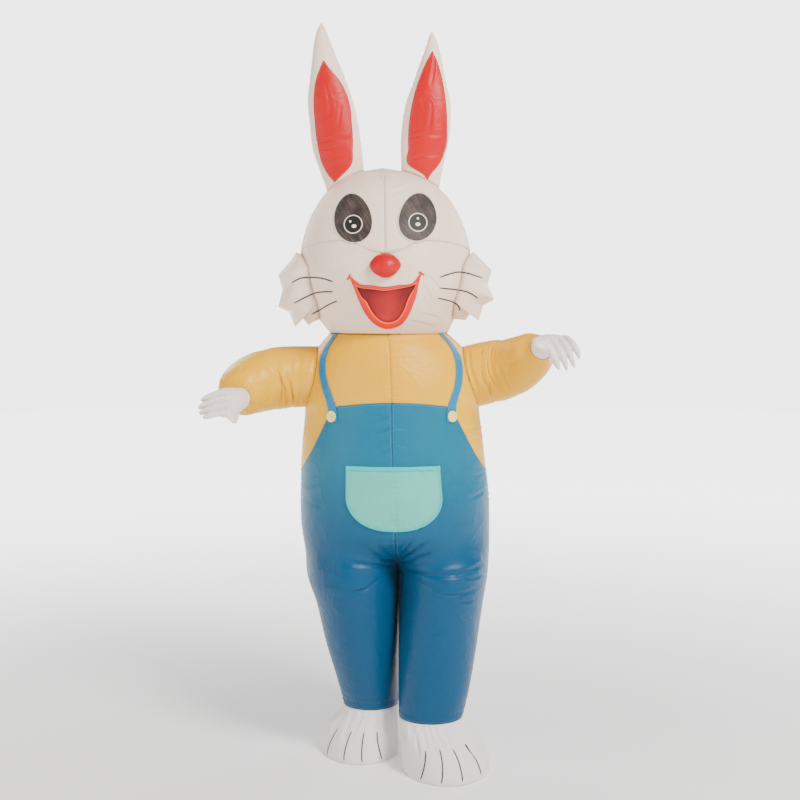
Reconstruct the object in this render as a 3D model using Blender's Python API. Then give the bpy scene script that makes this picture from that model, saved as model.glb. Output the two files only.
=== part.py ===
"""Inflatable rabbit costume, worn and filled with air: head, top, dungarees, gloves and shoe covers.

Metres. Heights in the tables are above the floor, the origin is where the wearer's shoulders
carry the suit. The costume faces -Y, and left and right are the wearer's.
"""

import bmesh
import bpy
import numpy as np
from mathutils import Matrix

# Driving dimensions
HOLD_HEIGHT = 1.380
CLOTH = 0.0020
APPLIQUE = 0.0014
SEAM_GAP = 0.0003
LIE_GAP = 0.0009
NECK_HEIGHT = 1.404
HEM_HEIGHT = 0.168
CROWN_HEIGHT = 1.939
FORK_LOW = 0.590
FORK_HIGH = 0.780
RIGHT_ANGLE = np.pi / 2
SIDES = {"left": 1, "right": -1}
FACES = {"front": 1, "back": -1}


class Table:
    """Rows of sizes with named columns, read smoothly along the first column."""

    def __init__(self, names, rows):
        self.columns = dict(zip(names.split(), np.array(rows, float).T))
        self.key = self.columns[names.split()[0]]

    def at(self, name, value):
        """Cubic curve through the rows of one column, flat beyond its ends."""
        keys, heights = self.key, self.columns[name]
        slopes = np.gradient(heights, keys)
        value = np.clip(value, keys[0], keys[-1])
        low = np.clip(np.searchsorted(keys, value) - 1, 0, len(keys) - 2)
        step = keys[low + 1] - keys[low]
        part = (value - keys[low]) / step
        rise = part * part * (3 - 2 * part)
        start = part * (1 - part) ** 2 * step * slopes[low]
        end = part * part * (part - 1) * step * slopes[low + 1]
        return heights[low] * (1 - rise) + heights[low + 1] * rise + start + end


TRUNK = Table("height middle half_width front back", (
    (0.560, -0.005, 0.290, 0.225, 0.215),
    (0.650, -0.008, 0.302, 0.240, 0.228),
    (0.750, -0.014, 0.311, 0.250, 0.238),
    (0.852, -0.017, 0.313, 0.252, 0.240),
    (0.958, -0.021, 0.305, 0.250, 0.235),
    (1.052, -0.024, 0.297, 0.243, 0.228),
    (1.154, -0.026, 0.286, 0.235, 0.220),
    (1.244, -0.027, 0.283, 0.225, 0.210),
    (1.303, -0.030, 0.267, 0.212, 0.200),
    (1.359, -0.032, 0.236, 0.193, 0.186),
    (1.404, -0.037, 0.192, 0.170, 0.162),
))

HEAD = Table("height middle half_width front back", (
    (1.404, -0.037, 0.192, 0.170, 0.162),
    (1.447, -0.043, 0.219, 0.215, 0.192),
    (1.512, -0.046, 0.252, 0.252, 0.226),
    (1.594, -0.046, 0.277, 0.270, 0.246),
    (1.685, -0.047, 0.272, 0.248, 0.250),
    (1.742, -0.048, 0.258, 0.228, 0.243),
    (1.817, -0.048, 0.222, 0.192, 0.214),
    (1.862, -0.049, 0.187, 0.160, 0.182),
    (1.901, -0.050, 0.133, 0.114, 0.132),
    (1.926, -0.054, 0.070, 0.062, 0.072),
    (1.939, -0.058, 0.001, 0.001, 0.001),
))

LEG = Table("height outer_left outer_right front_back", (
    (0.150, 0.199, 0.188, 0.094),
    (0.173, 0.205, 0.191, 0.098),
    (0.242, 0.223, 0.208, 0.121),
    (0.379, 0.250, 0.247, 0.157),
    (0.515, 0.272, 0.278, 0.196),
    (0.623, 0.292, 0.310, 0.226),
    (0.700, 0.296, 0.314, 0.236),
    (0.780, 0.297, 0.314, 0.240),
))

STEP_FORWARD = Table("height left right", (
    (0.000, -0.150, 0.010),
    (0.170, -0.130, 0.006),
    (0.379, -0.075, 0.000),
    (0.600, -0.012, 0.000),
    (0.780, 0.000, 0.000),
))

BIB_EDGE = Table("angle height", (
    (0.0, 0.957),
    (12.0, 0.966),
    (24.0, 1.002),
    (34.0, 1.055),
    (42.0, 1.118),
    (47.0, 1.160),
    (51.0, 1.174),
    (60.0, 1.182),
    (75.0, 1.190),
    (90.0, 1.194),
))

ARMHOLE = {"height": 1.262, "half_height": 0.099, "half_depth": 0.104}

SLEEVE = {
    "left": Table("along x y z radius", (
        (0.00, 0.240, 0.000, 1.268, 0.101),
        (0.25, 0.310, -0.012, 1.280, 0.102),
        (0.45, 0.362, -0.050, 1.296, 0.094),
        (0.65, 0.402, -0.105, 1.322, 0.082),
        (0.85, 0.428, -0.165, 1.348, 0.062),
        (0.94, 0.436, -0.192, 1.358, 0.044),
        (1.00, 0.441, -0.210, 1.364, 0.0385),
    )),
    "right": Table("along x y z radius", (
        (0.00, -0.290, 0.000, 1.264, 0.100),
        (0.25, -0.374, -0.006, 1.259, 0.102),
        (0.45, -0.440, -0.034, 1.252, 0.100),
        (0.65, -0.489, -0.088, 1.232, 0.090),
        (0.85, -0.507, -0.150, 1.212, 0.068),
        (0.94, -0.507, -0.180, 1.206, 0.046),
        (1.00, -0.505, -0.198, 1.203, 0.0385),
    )),
}

EAR = {
    "left": Table("height low_x high_x half_depth", (
        (1.870, -0.004, 0.128, 0.034),
        (1.937, 0.003, 0.140, 0.038),
        (1.999, 0.001, 0.153, 0.043),
        (2.080, 0.006, 0.164, 0.047),
        (2.157, 0.021, 0.163, 0.045),
        (2.204, 0.040, 0.152, 0.041),
        (2.280, 0.067, 0.136, 0.031),
        (2.330, 0.084, 0.123, 0.020),
        (2.358, 0.094, 0.112, 0.010),
        (2.372, 0.1015, 0.1025, 0.001),
    )),
    "right": Table("height low_x high_x half_depth", (
        (1.870, -0.240, -0.108, 0.034),
        (1.937, -0.264, -0.116, 0.038),
        (1.999, -0.283, -0.122, 0.043),
        (2.084, -0.293, -0.136, 0.047),
        (2.157, -0.299, -0.153, 0.045),
        (2.227, -0.291, -0.177, 0.040),
        (2.290, -0.283, -0.203, 0.031),
        (2.345, -0.275, -0.226, 0.021),
        (2.385, -0.263, -0.242, 0.010),
        (2.402, -0.2525, -0.2515, 0.001),
    )),
}

EAR_INNER = {
    "left": Table("height low_x high_x", (
        (1.915, 0.078, 0.098),
        (1.940, 0.034, 0.120),
        (1.999, 0.028, 0.146),
        (2.080, 0.030, 0.150),
        (2.150, 0.042, 0.146),
        (2.230, 0.068, 0.132),
        (2.285, 0.095, 0.112),
    )),
    "right": Table("height low_x high_x", (
        (1.905, -0.222, -0.196),
        (1.940, -0.246, -0.160),
        (1.999, -0.262, -0.152),
        (2.080, -0.272, -0.156),
        (2.150, -0.276, -0.166),
        (2.215, -0.268, -0.196),
        (2.262, -0.250, -0.236),
    )),
}

EAR_INNER_LIFT = {"left": 0.0046, "right": 0.0036}

TUFT = {
    "left": Table("along x z depth root", (
        (0.00, 0.240, 1.668, 0.55, 1.655),
        (0.12, 0.264, 1.642, 0.80, 1.640),
        (0.25, 0.297, 1.610, 1.00, 1.615),
        (0.36, 0.284, 1.561, 1.00, 1.592),
        (0.50, 0.306, 1.514, 1.00, 1.568),
        (0.58, 0.270, 1.494, 1.00, 1.540),
        (0.70, 0.256, 1.446, 1.00, 1.508),
        (0.80, 0.230, 1.472, 0.90, 1.486),
        (0.90, 0.214, 1.446, 0.75, 1.466),
        (1.00, 0.190, 1.450, 0.60, 1.452),
    )),
    "right": Table("along x z depth root", (
        (0.00, -0.336, 1.668, 0.55, 1.655),
        (0.12, -0.352, 1.642, 0.80, 1.640),
        (0.25, -0.395, 1.593, 1.00, 1.615),
        (0.36, -0.381, 1.545, 1.00, 1.592),
        (0.50, -0.396, 1.490, 1.00, 1.568),
        (0.58, -0.360, 1.474, 1.00, 1.540),
        (0.70, -0.342, 1.424, 1.00, 1.508),
        (0.80, -0.318, 1.456, 0.90, 1.486),
        (0.90, -0.298, 1.430, 0.75, 1.466),
        (1.00, -0.278, 1.444, 0.60, 1.452),
    )),
}

MOUTH = Table("turn x z inner_x inner_z", (
    (0.000, -0.1520, 1.5800, -0.1345, 1.5560),
    (0.036, -0.1350, 1.5686, -0.1285, 1.5525),
    (0.060, -0.1240, 1.5610, -0.1170, 1.5495),
    (0.130, -0.0840, 1.5550, -0.0820, 1.5455),
    (0.190, -0.0460, 1.5510, -0.0460, 1.5415),
    (0.250, -0.0060, 1.5560, -0.0075, 1.5465),
    (0.320, 0.0400, 1.5650, 0.0360, 1.5560),
    (0.340, 0.0480, 1.5740, 0.0425, 1.5595),
    (0.380, 0.0640, 1.5920, 0.0480, 1.5630),
    (0.405, 0.0584, 1.5700, 0.0485, 1.5590),
    (0.430, 0.0534, 1.5488, 0.0440, 1.5470),
    (0.460, 0.0470, 1.5230, 0.0375, 1.5245),
    (0.500, 0.0375, 1.4985, 0.0283, 1.5010),
    (0.560, 0.0280, 1.4740, 0.0200, 1.4790),
    (0.640, 0.0010, 1.4370, -0.0040, 1.4450),
    (0.710, -0.0380, 1.4240, -0.0380, 1.4335),
    (0.780, -0.0750, 1.4370, -0.0700, 1.4450),
    (0.860, -0.1070, 1.4740, -0.0985, 1.4785),
    (0.910, -0.1214, 1.5046, -0.1122, 1.5070),
    (0.940, -0.1300, 1.5230, -0.1207, 1.5245),
    (0.956, -0.1360, 1.5390, -0.1268, 1.5370),
    (0.974, -0.1428, 1.5560, -0.1340, 1.5515),
))
MOUTH_TRIM = (-0.15, 0.35, 0.85)
MOUTH_HOLE = 0.62

MUZZLE_EDGE = Table("angle height", (
    (0, 1.662),
    (25, 1.680),
    (50, 1.694),
    (68, 1.690),
    (80, 1.664),
    (90, 1.654),
    (100, 1.664),
    (112, 1.690),
    (130, 1.694),
    (155, 1.680),
    (180, 1.662),
))
MUZZLE_ROWS = (0.0, 0.08, 0.22, 0.38, 0.54, 0.70, 0.85, 1.0)

EYE = {
    "left": {"x": 0.0545, "z": 1.768, "half_width": 0.060, "half_height": 0.079, "lean": 0.16, "lift": 0.0018},
    "right": {"x": -0.1455, "z": 1.765, "half_width": 0.061, "half_height": 0.081, "lean": -0.16, "lift": 0.0011},
}

NOSE = {"x": -0.045, "z": 1.617, "half_width": 0.046, "half_height": 0.037, "depth": 0.042}

POCKET = {"half_angle": 29.0, "top": 0.995, "straight": 0.900, "bottom": 0.792, "binding": 0.014}

STRAP = Table("along angle height", (
    (0.00, 50.0, 1.128),
    (0.15, 47.5, 1.190),
    (0.30, 40.0, 1.262),
    (0.42, 34.0, 1.318),
    (0.52, 31.0, 1.362),
    (0.60, 30.0, 1.390),
    (0.64, 29.5, 1.4034),
))
STRAP_WIDTH = 0.036
BUTTON = {"radius": 0.018, "thickness": 0.005, "angle": 49.0, "height": 1.146}

FOOT = {
    "left": {"x": 0.148, "y": -0.136, "half_width": 0.143, "half_length": 0.176},
    "right": {"x": -0.130, "y": 0.034, "half_width": 0.135, "half_length": 0.168},
}
FOOT_RINGS = Table("height spread", (
    (0.0015, 1.00),
    (0.020, 1.01),
    (0.048, 0.93),
    (0.080, 0.74),
    (0.110, 0.44),
    (0.134, 0.16),
    (0.156, 0.02),
    (0.1677, 0.00),
))

GLOVE = {
    "left": Table("along x y z half_width half_depth", (
        (0.00, 0.437, -0.190, 1.356, 0.0352, 0.0350),
        (0.12, 0.441, -0.212, 1.365, 0.0352, 0.0345),
        (0.28, 0.450, -0.246, 1.380, 0.0400, 0.0250),
        (0.45, 0.464, -0.281, 1.387, 0.0460, 0.0190),
        (0.58, 0.480, -0.306, 1.379, 0.0480, 0.0160),
        (0.72, 0.494, -0.326, 1.358, 0.0480, 0.0130),
        (0.86, 0.505, -0.338, 1.332, 0.0470, 0.0115),
        (1.00, 0.513, -0.346, 1.304, 0.0470, 0.0110),
    )),
    "right": Table("along x y z half_width half_depth", (
        (0.00, -0.506, -0.178, 1.207, 0.0352, 0.0350),
        (0.12, -0.505, -0.202, 1.203, 0.0352, 0.0345),
        (0.28, -0.514, -0.230, 1.202, 0.0400, 0.0250),
        (0.45, -0.530, -0.254, 1.200, 0.0460, 0.0190),
        (0.58, -0.550, -0.267, 1.196, 0.0470, 0.0160),
        (0.72, -0.574, -0.275, 1.190, 0.0460, 0.0130),
        (0.86, -0.597, -0.279, 1.182, 0.0450, 0.0115),
        (1.00, -0.618, -0.280, 1.172, 0.0450, 0.0110),
    )),
}
GLOVE_ACROSS = {"left": (1.0, 0.0, 0.05), "right": (0.0, 0.62, 0.78)}
GLOVE_CLOTH = 0.0014
HAND = Table("place lobe reach inside", (
    (-1.00, 0.00, 0.86, 0.026),
    (-0.83, 0.85, 0.96, 0.020),
    (-0.67, 0.95, 0.97, -0.020),
    (-0.50, 0.42, 0.83, 0.000),
    (-0.33, 0.95, 1.00, 0.020),
    (-0.17, 0.95, 1.00, -0.020),
    (0.00, 0.42, 0.83, 0.000),
    (0.17, 0.95, 0.98, 0.020),
    (0.33, 0.95, 0.97, -0.020),
    (0.50, 0.42, 0.77, 0.000),
    (0.67, 0.95, 0.89, 0.020),
    (0.83, 0.85, 0.87, -0.020),
    (1.00, 0.00, 0.76, -0.026),
))
HAND_ROWS = np.array([0, 0.12, 0.28, 0.38, 0.47, 0.56, 0.70, 0.84, 0.95, 1.0])
THUMB = Table("along outward forward", (
    (0.28, 0.000, 0.000),
    (0.38, 0.020, 0.004),
    (0.47, 0.030, 0.012),
    (0.56, 0.012, 0.006),
    (0.70, 0.000, 0.000),
))

FAN = {"x": 0.130, "height": 0.905, "bore": 0.045, "barrel": 0.052, "flange": 0.066, "depth": 0.036}
ZIP = {"top": 1.390, "width": 0.030, "slider": 1.362}
PULL = {"length": 0.030, "width": 0.009, "thickness": 0.0016}

# Creases as lines on the front or back, seen from that side
CREASES = Table("order face x0 z0 x1 z1 width depth", (
    (0, 1, -0.012, 0.655, -0.201, 0.690, 0.016, 0.0060),
    (1, 1, -0.054, 0.628, -0.228, 0.567, 0.016, 0.0060),
    (2, 1, 0.000, 0.684, 0.098, 0.760, 0.016, 0.0060),
    (3, 1, 0.002, 0.652, 0.271, 0.660, 0.016, 0.0060),
    (4, 1, 0.012, 0.635, 0.146, 0.603, 0.016, 0.0050),
    (5, 1, 0.130, 0.588, 0.262, 0.597, 0.016, 0.0050),
    (6, 1, 0.051, 0.554, 0.140, 0.538, 0.016, 0.0040),
    (7, 1, 0.104, 0.438, 0.245, 0.456, 0.016, 0.0050),
    (8, 1, 0.051, 0.456, 0.151, 0.419, 0.014, 0.0040),
    (9, -1, -0.030, 0.640, -0.220, 0.670, 0.018, 0.0060),
    (10, -1, 0.020, 0.640, 0.210, 0.680, 0.018, 0.0060),
    (11, -1, -0.050, 0.440, -0.230, 0.410, 0.018, 0.0060),
    (12, -1, 0.050, 0.400, 0.230, 0.430, 0.018, 0.0060),
    (13, -1, -0.030, 0.830, -0.200, 0.850, 0.018, 0.0050),
))

SUBJECT = "inflatable_bunny_costume"
HELPERS = "helpers"


def clear_scene():
    for item in list(bpy.data.objects):
        bpy.data.objects.remove(item)


def new_collection(name, hidden=False):
    collection = bpy.data.collections.new(name)
    bpy.context.scene.collection.children.link(collection)
    collection.hide_render = hidden
    return collection


def new_material(name, colour, roughness, metallic=0.0):
    material = bpy.data.materials.new(name)
    material.use_nodes = True
    shader = material.node_tree.nodes["Principled BSDF"]
    shader.inputs["Base Color"].default_value = (*colour, 1.0)
    shader.inputs["Roughness"].default_value = roughness
    shader.inputs["Metallic"].default_value = metallic
    material.diffuse_color = (*colour, 1.0)
    return material


def smooth_step(value):
    part = np.clip(value, 0.0, 1.0)
    return part * part * (3 - 2 * part)


def spread(first, last, count):
    return np.linspace(first, last, count)


# Surfaces of the filled suit
def oval(table, angle, height):
    """Point of a level oval: angle 0 is +X, 90 degrees is the front."""
    middle = table.at("middle", height)
    width = table.at("half_width", height)
    front = table.at("front", height)
    back = table.at("back", height)
    depth = np.where(np.sin(angle) > 0, front, back)
    return np.stack([middle + width * np.cos(angle), -depth * np.sin(angle), height], axis=-1)


def trunk(angle, height):
    return oval(TRUNK, angle, height)


def head(angle, height):
    return oval(HEAD, angle, height)


def head_front(x, z, out=0.0):
    """Point on the face over a place seen from the front."""
    reach = (x - HEAD.at("middle", z)) / HEAD.at("half_width", z)
    angle = np.arccos(np.clip(reach, -0.999, 0.999))
    return moved_out(head, angle, z, out)


def moved_out(surface, angle, height, out):
    """Surface point moved along its normal."""
    step = 1e-4
    across = surface(angle + step, height) - surface(angle - step, height)
    along = surface(angle, height + step) - surface(angle, height - step)
    normal = np.cross(across, along)
    normal /= np.linalg.norm(normal, axis=-1, keepdims=True) + 1e-15
    return surface(angle, height) - normal * out


def layer(surface, angle, height, low, high):
    """Outer and inner points of a layer between two distances from a surface."""
    return moved_out(surface, angle, height, high), moved_out(surface, angle, height, low)


def level_edges(outer, inner, rows=(0, -1)):
    """Keeps both faces of a wall at one height along a seam."""
    for row in rows:
        inner[row, :, 2] = outer[row, :, 2]
    return outer, inner


def leg(side, face, share, height):
    """Point of one leg: share 0 is the outer side, 1 the inner seam."""
    name = "left" if side > 0 else "right"
    inner = TRUNK.at("middle", height) + side * 0.0004
    outer = side * LEG.at("outer_" + name, height)
    depth = LEG.at("front_back", height)
    middle = (inner + outer) / 2
    half = (outer - inner) / 2
    turn = np.pi * share
    y = STEP_FORWARD.at(name, height) - face * depth * np.sin(turn)
    return np.stack([middle + half * np.cos(turn), y, height], axis=-1)


def dungaree(side, face, share, height):
    """Leg below, half of the trunk above, joined over the fork."""
    upper = trunk(face * share * RIGHT_ANGLE, height)
    middle = TRUNK.at("middle", height)
    upper[..., 0] = middle + side * (upper[..., 0] - middle)
    lower = leg(side, face, share, height)
    part = smooth_step((height - FORK_LOW) / (FORK_HIGH - FORK_LOW))[..., None]
    return lower * (1 - part) + upper * part


def crease_depth(points, face):
    """Depth of the troughs at points of one face, with a low lip beside each."""
    total = np.zeros(points.shape[:-1])
    table = CREASES.columns
    for row in range(len(table["order"])):
        if table["face"][row] != face:
            continue
        start = np.array([table["x0"][row], table["z0"][row]])
        end = np.array([table["x1"][row], table["z1"][row]])
        line = end - start
        away = points[..., [0, 2]] - start
        share = away @ line / (line @ line)
        nearest = np.clip(share, 0, 1)[..., None] * line
        apart = np.linalg.norm(away - nearest, axis=-1) / table["width"][row]
        ends = smooth_step(share * 4 + 0.9) * smooth_step((1 - share) * 3 + 0.5)
        shape = 1.4 * np.exp(-(apart ** 2)) - 0.6 * np.exp(-((apart / 2) ** 2))
        total += table["depth"][row] * ends * shape
    centre = np.abs(points[..., 0] - TRUNK.at("middle", points[..., 2]))
    return total * smooth_step((centre - 0.022) / 0.050)


# Meshes
def shell_mesh(name, outer, inner, loop=False, closed_end=False):
    """One closed wall from two grids of points, with its edges closed."""
    rows, columns = outer.shape[:2]
    points = np.concatenate([outer.reshape(-1, 3), inner.reshape(-1, 3)])
    points[:, 2] -= HOLD_HEIGHT
    index = np.arange(rows * columns).reshape(rows, columns)
    last = columns if loop else columns - 1
    faces = []
    for row in range(rows - 1):
        for column in range(last):
            right = (column + 1) % columns
            low, beside = index[row, column], index[row, right]
            above, across = index[row + 1, column], index[row + 1, right]
            for corners in ((low, beside, across), (low, across, above)):
                faces.append(list(corners))
                faces.append([corner + rows * columns for corner in reversed(corners)])
    borders = [(index[0, c], index[0, (c + 1) % columns]) for c in range(last)]
    if not closed_end:
        borders += [(index[-1, (c + 1) % columns], index[-1, c]) for c in range(last)]
    if not loop:
        borders += [(index[r + 1, 0], index[r, 0]) for r in range(rows - 1)]
        borders += [(index[r, -1], index[r + 1, -1]) for r in range(rows - 1)]
    for first, second in borders:
        faces.append([second, first, first + rows * columns, second + rows * columns])
    mesh = bpy.data.meshes.new(name)
    mesh.from_pydata(points.tolist(), [], [[int(corner) for corner in face] for face in faces])
    return tidy_mesh(mesh)


def tidy_mesh(mesh):
    work = bmesh.new()
    work.from_mesh(mesh)
    bmesh.ops.remove_doubles(work, verts=work.verts, dist=2e-6)
    loose = [edge for edge in work.edges if not edge.link_faces]
    bmesh.ops.delete(work, geom=loose, context="EDGES")
    bmesh.ops.recalc_face_normals(work, faces=work.faces)
    work.to_mesh(mesh)
    work.free()
    return mesh


def grid_normals(surface, rows, columns):
    step = 2e-5
    across = surface(rows, columns + step) - surface(rows, columns - step)
    along = surface(rows + step, columns) - surface(rows - step, columns)
    normal = np.cross(across, along)
    return normal / (np.linalg.norm(normal, axis=-1, keepdims=True) + 1e-15)


def wall(surface, rows, columns, thickness=CLOTH, out=0.0, relief=None, axis=None):
    """Outer and inner points of a cloth wall on a surface read at rows and columns."""
    row_grid, column_grid = np.meshgrid(rows, columns, indexing="ij")
    points = surface(row_grid, column_grid)
    normals = grid_normals(surface, row_grid, column_grid)
    middle = points.mean(axis=(0, 1)) if axis is None else axis
    if np.sum(normals * (points - middle)) < 0:
        normals = -normals
    if relief is not None:
        points = points - normals * relief(points)[..., None]
    points = points + normals * out
    return points + normals * thickness * (out > 0), points - normals * thickness * (out <= 0)


class Maker:
    """Adds each finished mesh to the costume's collection."""

    def __init__(self, collection, helpers, materials):
        self.collection = collection
        self.helpers = helpers
        self.materials = materials

    def add(self, name, mesh, material):
        item = bpy.data.objects.new(name, mesh)
        mesh.materials.append(self.materials[material])
        self.collection.objects.link(item)
        return item

    def shell(self, name, grids, material, loop=False):
        return self.add(name, shell_mesh(name, *grids, loop=loop), material)

    def cutter(self, name, mesh):
        item = bpy.data.objects.new(name, mesh)
        item.hide_render = True
        item.display_type = "WIRE"
        self.helpers.objects.link(item)
        return item

    def cut(self, item, cutter):
        change = item.modifiers.new("cut", "BOOLEAN")
        change.operation = "DIFFERENCE"
        change.solver = "EXACT"
        change.use_self = True
        change.object = cutter


def revolved(profile, steps, matrix):
    """Closed solid turned from a profile of (radius, height) rows that may form a ring."""
    work = bmesh.new()
    rings = []
    for radius, height in profile:
        if radius < 1e-6:
            rings.append([work.verts.new((0, 0, height))])
            continue
        angles = [2 * np.pi * step / steps for step in range(steps)]
        rings.append([work.verts.new((radius * np.cos(a), radius * np.sin(a), height)) for a in angles])
    closed = profile[0][0] > 1e-6
    pairs = list(zip(rings, rings[1:] + rings[:1])) if closed else list(zip(rings, rings[1:]))
    for low, high in pairs:
        for step in range(steps):
            after = (step + 1) % steps
            if len(low) == 1:
                work.faces.new((low[0], high[after], high[step]))
            elif len(high) == 1:
                work.faces.new((low[step], low[after], high[0]))
            else:
                work.faces.new((low[step], low[after], high[after], high[step]))
    bmesh.ops.recalc_face_normals(work, faces=work.faces)
    work.transform(matrix)
    mesh = bpy.data.meshes.new("turned")
    work.to_mesh(mesh)
    work.free()
    return mesh


def panel_layer(surface, side, face, angle, height):
    """Wall of one quarter of an oval body, drawn back from its upright seams."""
    shown = face * (angle if side > 0 else np.pi - angle)
    outer, inner = layer(surface, shown, height, -CLOTH, 0.0)
    apart = np.array([side * 0.0002, -face * 0.0002, 0.0])
    return level_edges(outer + apart, inner + apart)


# Head
def crown_rows(low, count):
    share = spread(0, 1, count)[:, None]
    return low + (CROWN_HEIGHT - low) * (1 - (1 - share) ** 1.7)


def build_head(maker):
    for side_name, side in SIDES.items():
        for face_name, face in FACES.items():
            share = spread(0, 1, 9)
            low = MUZZLE_EDGE.at("height", share * 90) if face > 0 else NECK_HEIGHT + 0 * share
            height = crown_rows(low + SEAM_GAP / 2, 9 if face > 0 else 11)
            share = share + 0 * height
            outer, inner = panel_layer(head, side, face, share * RIGHT_ANGLE, height)
            inner[-1] = outer[-1] - [0, 0, CLOTH]
            grids = (outer, inner)
            item = maker.shell(f"head_{face_name}_{side_name}", grids, "white")
            maker.cut(item, maker.cutter(f"ear_way_{face_name}_{side_name}", ear_way(side_name)))
    build_muzzle(maker)


def ear_way(side_name):
    table = EAR[side_name]
    middle = (table.at("low_x", 1.90) + table.at("high_x", 1.90)) / 2
    half = (table.at("high_x", 1.90) - table.at("low_x", 1.90)) / 2 - 0.016
    matrix = Matrix.Translation((middle, 0.0, 1.90 - HOLD_HEIGHT))
    matrix = matrix @ Matrix.Diagonal((half, 0.018, 1.0, 1.0))
    return revolved([(0, -0.12), (1, -0.12), (1, 0.12), (0, 0.12)], 20, matrix)


def mouth_line(share):
    """Mouth outline moved by a share of the way to the trim's inner edge."""
    table = MOUTH.columns
    outside = np.stack([table["x"], table["z"]], axis=-1)
    inside = np.stack([table["inner_x"], table["inner_z"]], axis=-1)
    return outside + (inside - outside) * share


def face_place(x, z):
    reach = (x - HEAD.at("middle", z)) / HEAD.at("half_width", z)
    return np.arccos(np.clip(reach, -1, 1)), z


def muzzle_place(rows, columns):
    """Angle and height of the muzzle's rows between the neck seam and the cheek seam."""
    share, angle = np.meshgrid(rows, columns, indexing="ij")
    low = NECK_HEIGHT + SEAM_GAP / 2
    high = MUZZLE_EDGE.at("height", np.degrees(angle)) - SEAM_GAP / 2
    return np.clip(angle, 0.0007, np.pi - 0.0007), low + (high - low) * share


def mouth_way():
    """Prism through the face with the mouth's outline."""
    line = mouth_line(MOUTH_HOLE)
    work = bmesh.new()
    ends = []
    for y in (-0.40, -0.12):
        ends.append([work.verts.new((x, y, z - HOLD_HEIGHT)) for x, z in line])
    work.faces.new(ends[0])
    work.faces.new(ends[1][::-1])
    for place in range(len(line)):
        after = (place + 1) % len(line)
        work.faces.new((ends[0][after], ends[0][place], ends[1][place], ends[1][after]))
    bmesh.ops.recalc_face_normals(work, faces=work.faces)
    mesh = bpy.data.meshes.new("mouth_way")
    work.to_mesh(mesh)
    work.free()
    return mesh


def build_muzzle(maker):
    columns = np.linspace(0, np.pi, 17)
    place = muzzle_place(MUZZLE_ROWS, columns)
    item = maker.shell("muzzle", level_edges(*layer(head, *place, -CLOTH, 0.0)), "white")
    maker.cut(item, maker.cutter("mouth_way", mouth_way()))
    place = muzzle_place(MUZZLE_ROWS[1:6], columns[5:12])
    maker.shell("mouth_window", layer(head, *place, -0.0036, -0.0026), "mesh_red")
    lines = np.array([mouth_line(share) for share in MOUTH_TRIM])
    place = face_place(*np.moveaxis(lines, -1, 0))
    maker.shell("mouth_trim", layer(head, *place, 0.0022, 0.0022 + APPLIQUE), "orange", loop=True)
    build_eyes(maker)
    build_nose(maker)


def eye_line(side_name, turn, scale):
    eye = EYE[side_name]
    up = np.sin(turn)
    wide = np.cos(turn) * (1.0 - 0.13 * up)
    x = eye["x"] + scale * (eye["half_width"] * wide + eye["lean"] * eye["half_height"] * up * 0.5)
    return x, eye["z"] + scale * eye["half_height"] * up


def build_eyes(maker):
    for side_name in SIDES:
        share, turn = np.meshgrid(np.array([0.0, 0.35, 0.7, 1.0]), np.arange(16) * np.pi / 8, indexing="ij")
        place = face_place(*eye_line(side_name, turn, 1 - share))
        low = EYE[side_name]["lift"]
        grids = layer(head, *place, low, low + APPLIQUE)
        maker.shell(f"eye_patch_{side_name}", grids, "eye_grey", loop=True)


def build_nose(maker):
    rings = np.radians([90, 66, 45, 24, 1])
    turns = np.arange(14) * np.pi / 7
    ring, turn = np.meshgrid(rings, turns, indexing="ij")
    lump = 1 + 0.05 * np.cos(4 * turn) * np.sin(ring)

    def dome(shrink):
        x = NOSE["x"] + (NOSE["half_width"] - shrink) * lump * np.sin(ring) * np.cos(turn)
        z = NOSE["z"] + (NOSE["half_height"] - shrink) * lump * np.sin(ring) * np.sin(turn)
        base = head_front(x, z, 0.0004)
        base[..., 1] -= (NOSE["depth"] - shrink) * np.clip(np.cos(ring), 0, 1) ** 0.9
        base[-1] = base[-1].mean(axis=0)
        return base

    maker.shell("nose", (dome(0), dome(CLOTH)), "red", loop=True)


def build_ears(maker):
    for side_name, side in SIDES.items():
        table = EAR[side_name]
        tip = table.key[-1]

        def half_ear(share, turn, table=table, tip=tip):
            height = np.full(share.shape, 1.92)
            for _ in range(8):
                base = head_top(*ear_place(table, turn, height)) + 0.0012
                height = base + (tip - base) * share
            x, y = ear_place(table, turn, height)
            return np.stack([x, y, height], axis=-1)

        rows = np.array([0, 0.12, 0.26, 0.42, 0.58, 0.72, 0.84, 0.93, 0.985])
        for face_name, face in FACES.items():
            row_grid, turn_grid = np.meshgrid(rows, face * spread(0.008, np.pi - 0.008, 8), indexing="ij")
            outer = half_ear(row_grid, turn_grid)
            core = half_ear(row_grid, face * RIGHT_ANGLE + 0 * turn_grid) * [1, 0, 1]
            inward = core - outer
            reach = np.linalg.norm(inward, axis=-1, keepdims=True)
            inner = outer + inward / reach * np.minimum(CLOTH * 1.2, reach * 0.4)
            inner[:, :, 1] = np.where(face * inner[:, :, 1] > -0.0002, -face * 0.0002, inner[:, :, 1])
            outer[:, :, 1] = np.where(face * outer[:, :, 1] > -0.0002, -face * 0.0002, outer[:, :, 1])
            maker.shell(f"ear_{face_name}_{side_name}", (outer, inner), "white")
        build_ear_inner(maker, side_name, table)


def ear_place(table, turn, height):
    low = table.at("low_x", height)
    high = table.at("high_x", height)
    x = (low + high) / 2 + (high - low) / 2 * np.cos(turn)
    return x, -table.at("half_depth", height) * np.sin(turn)


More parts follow.
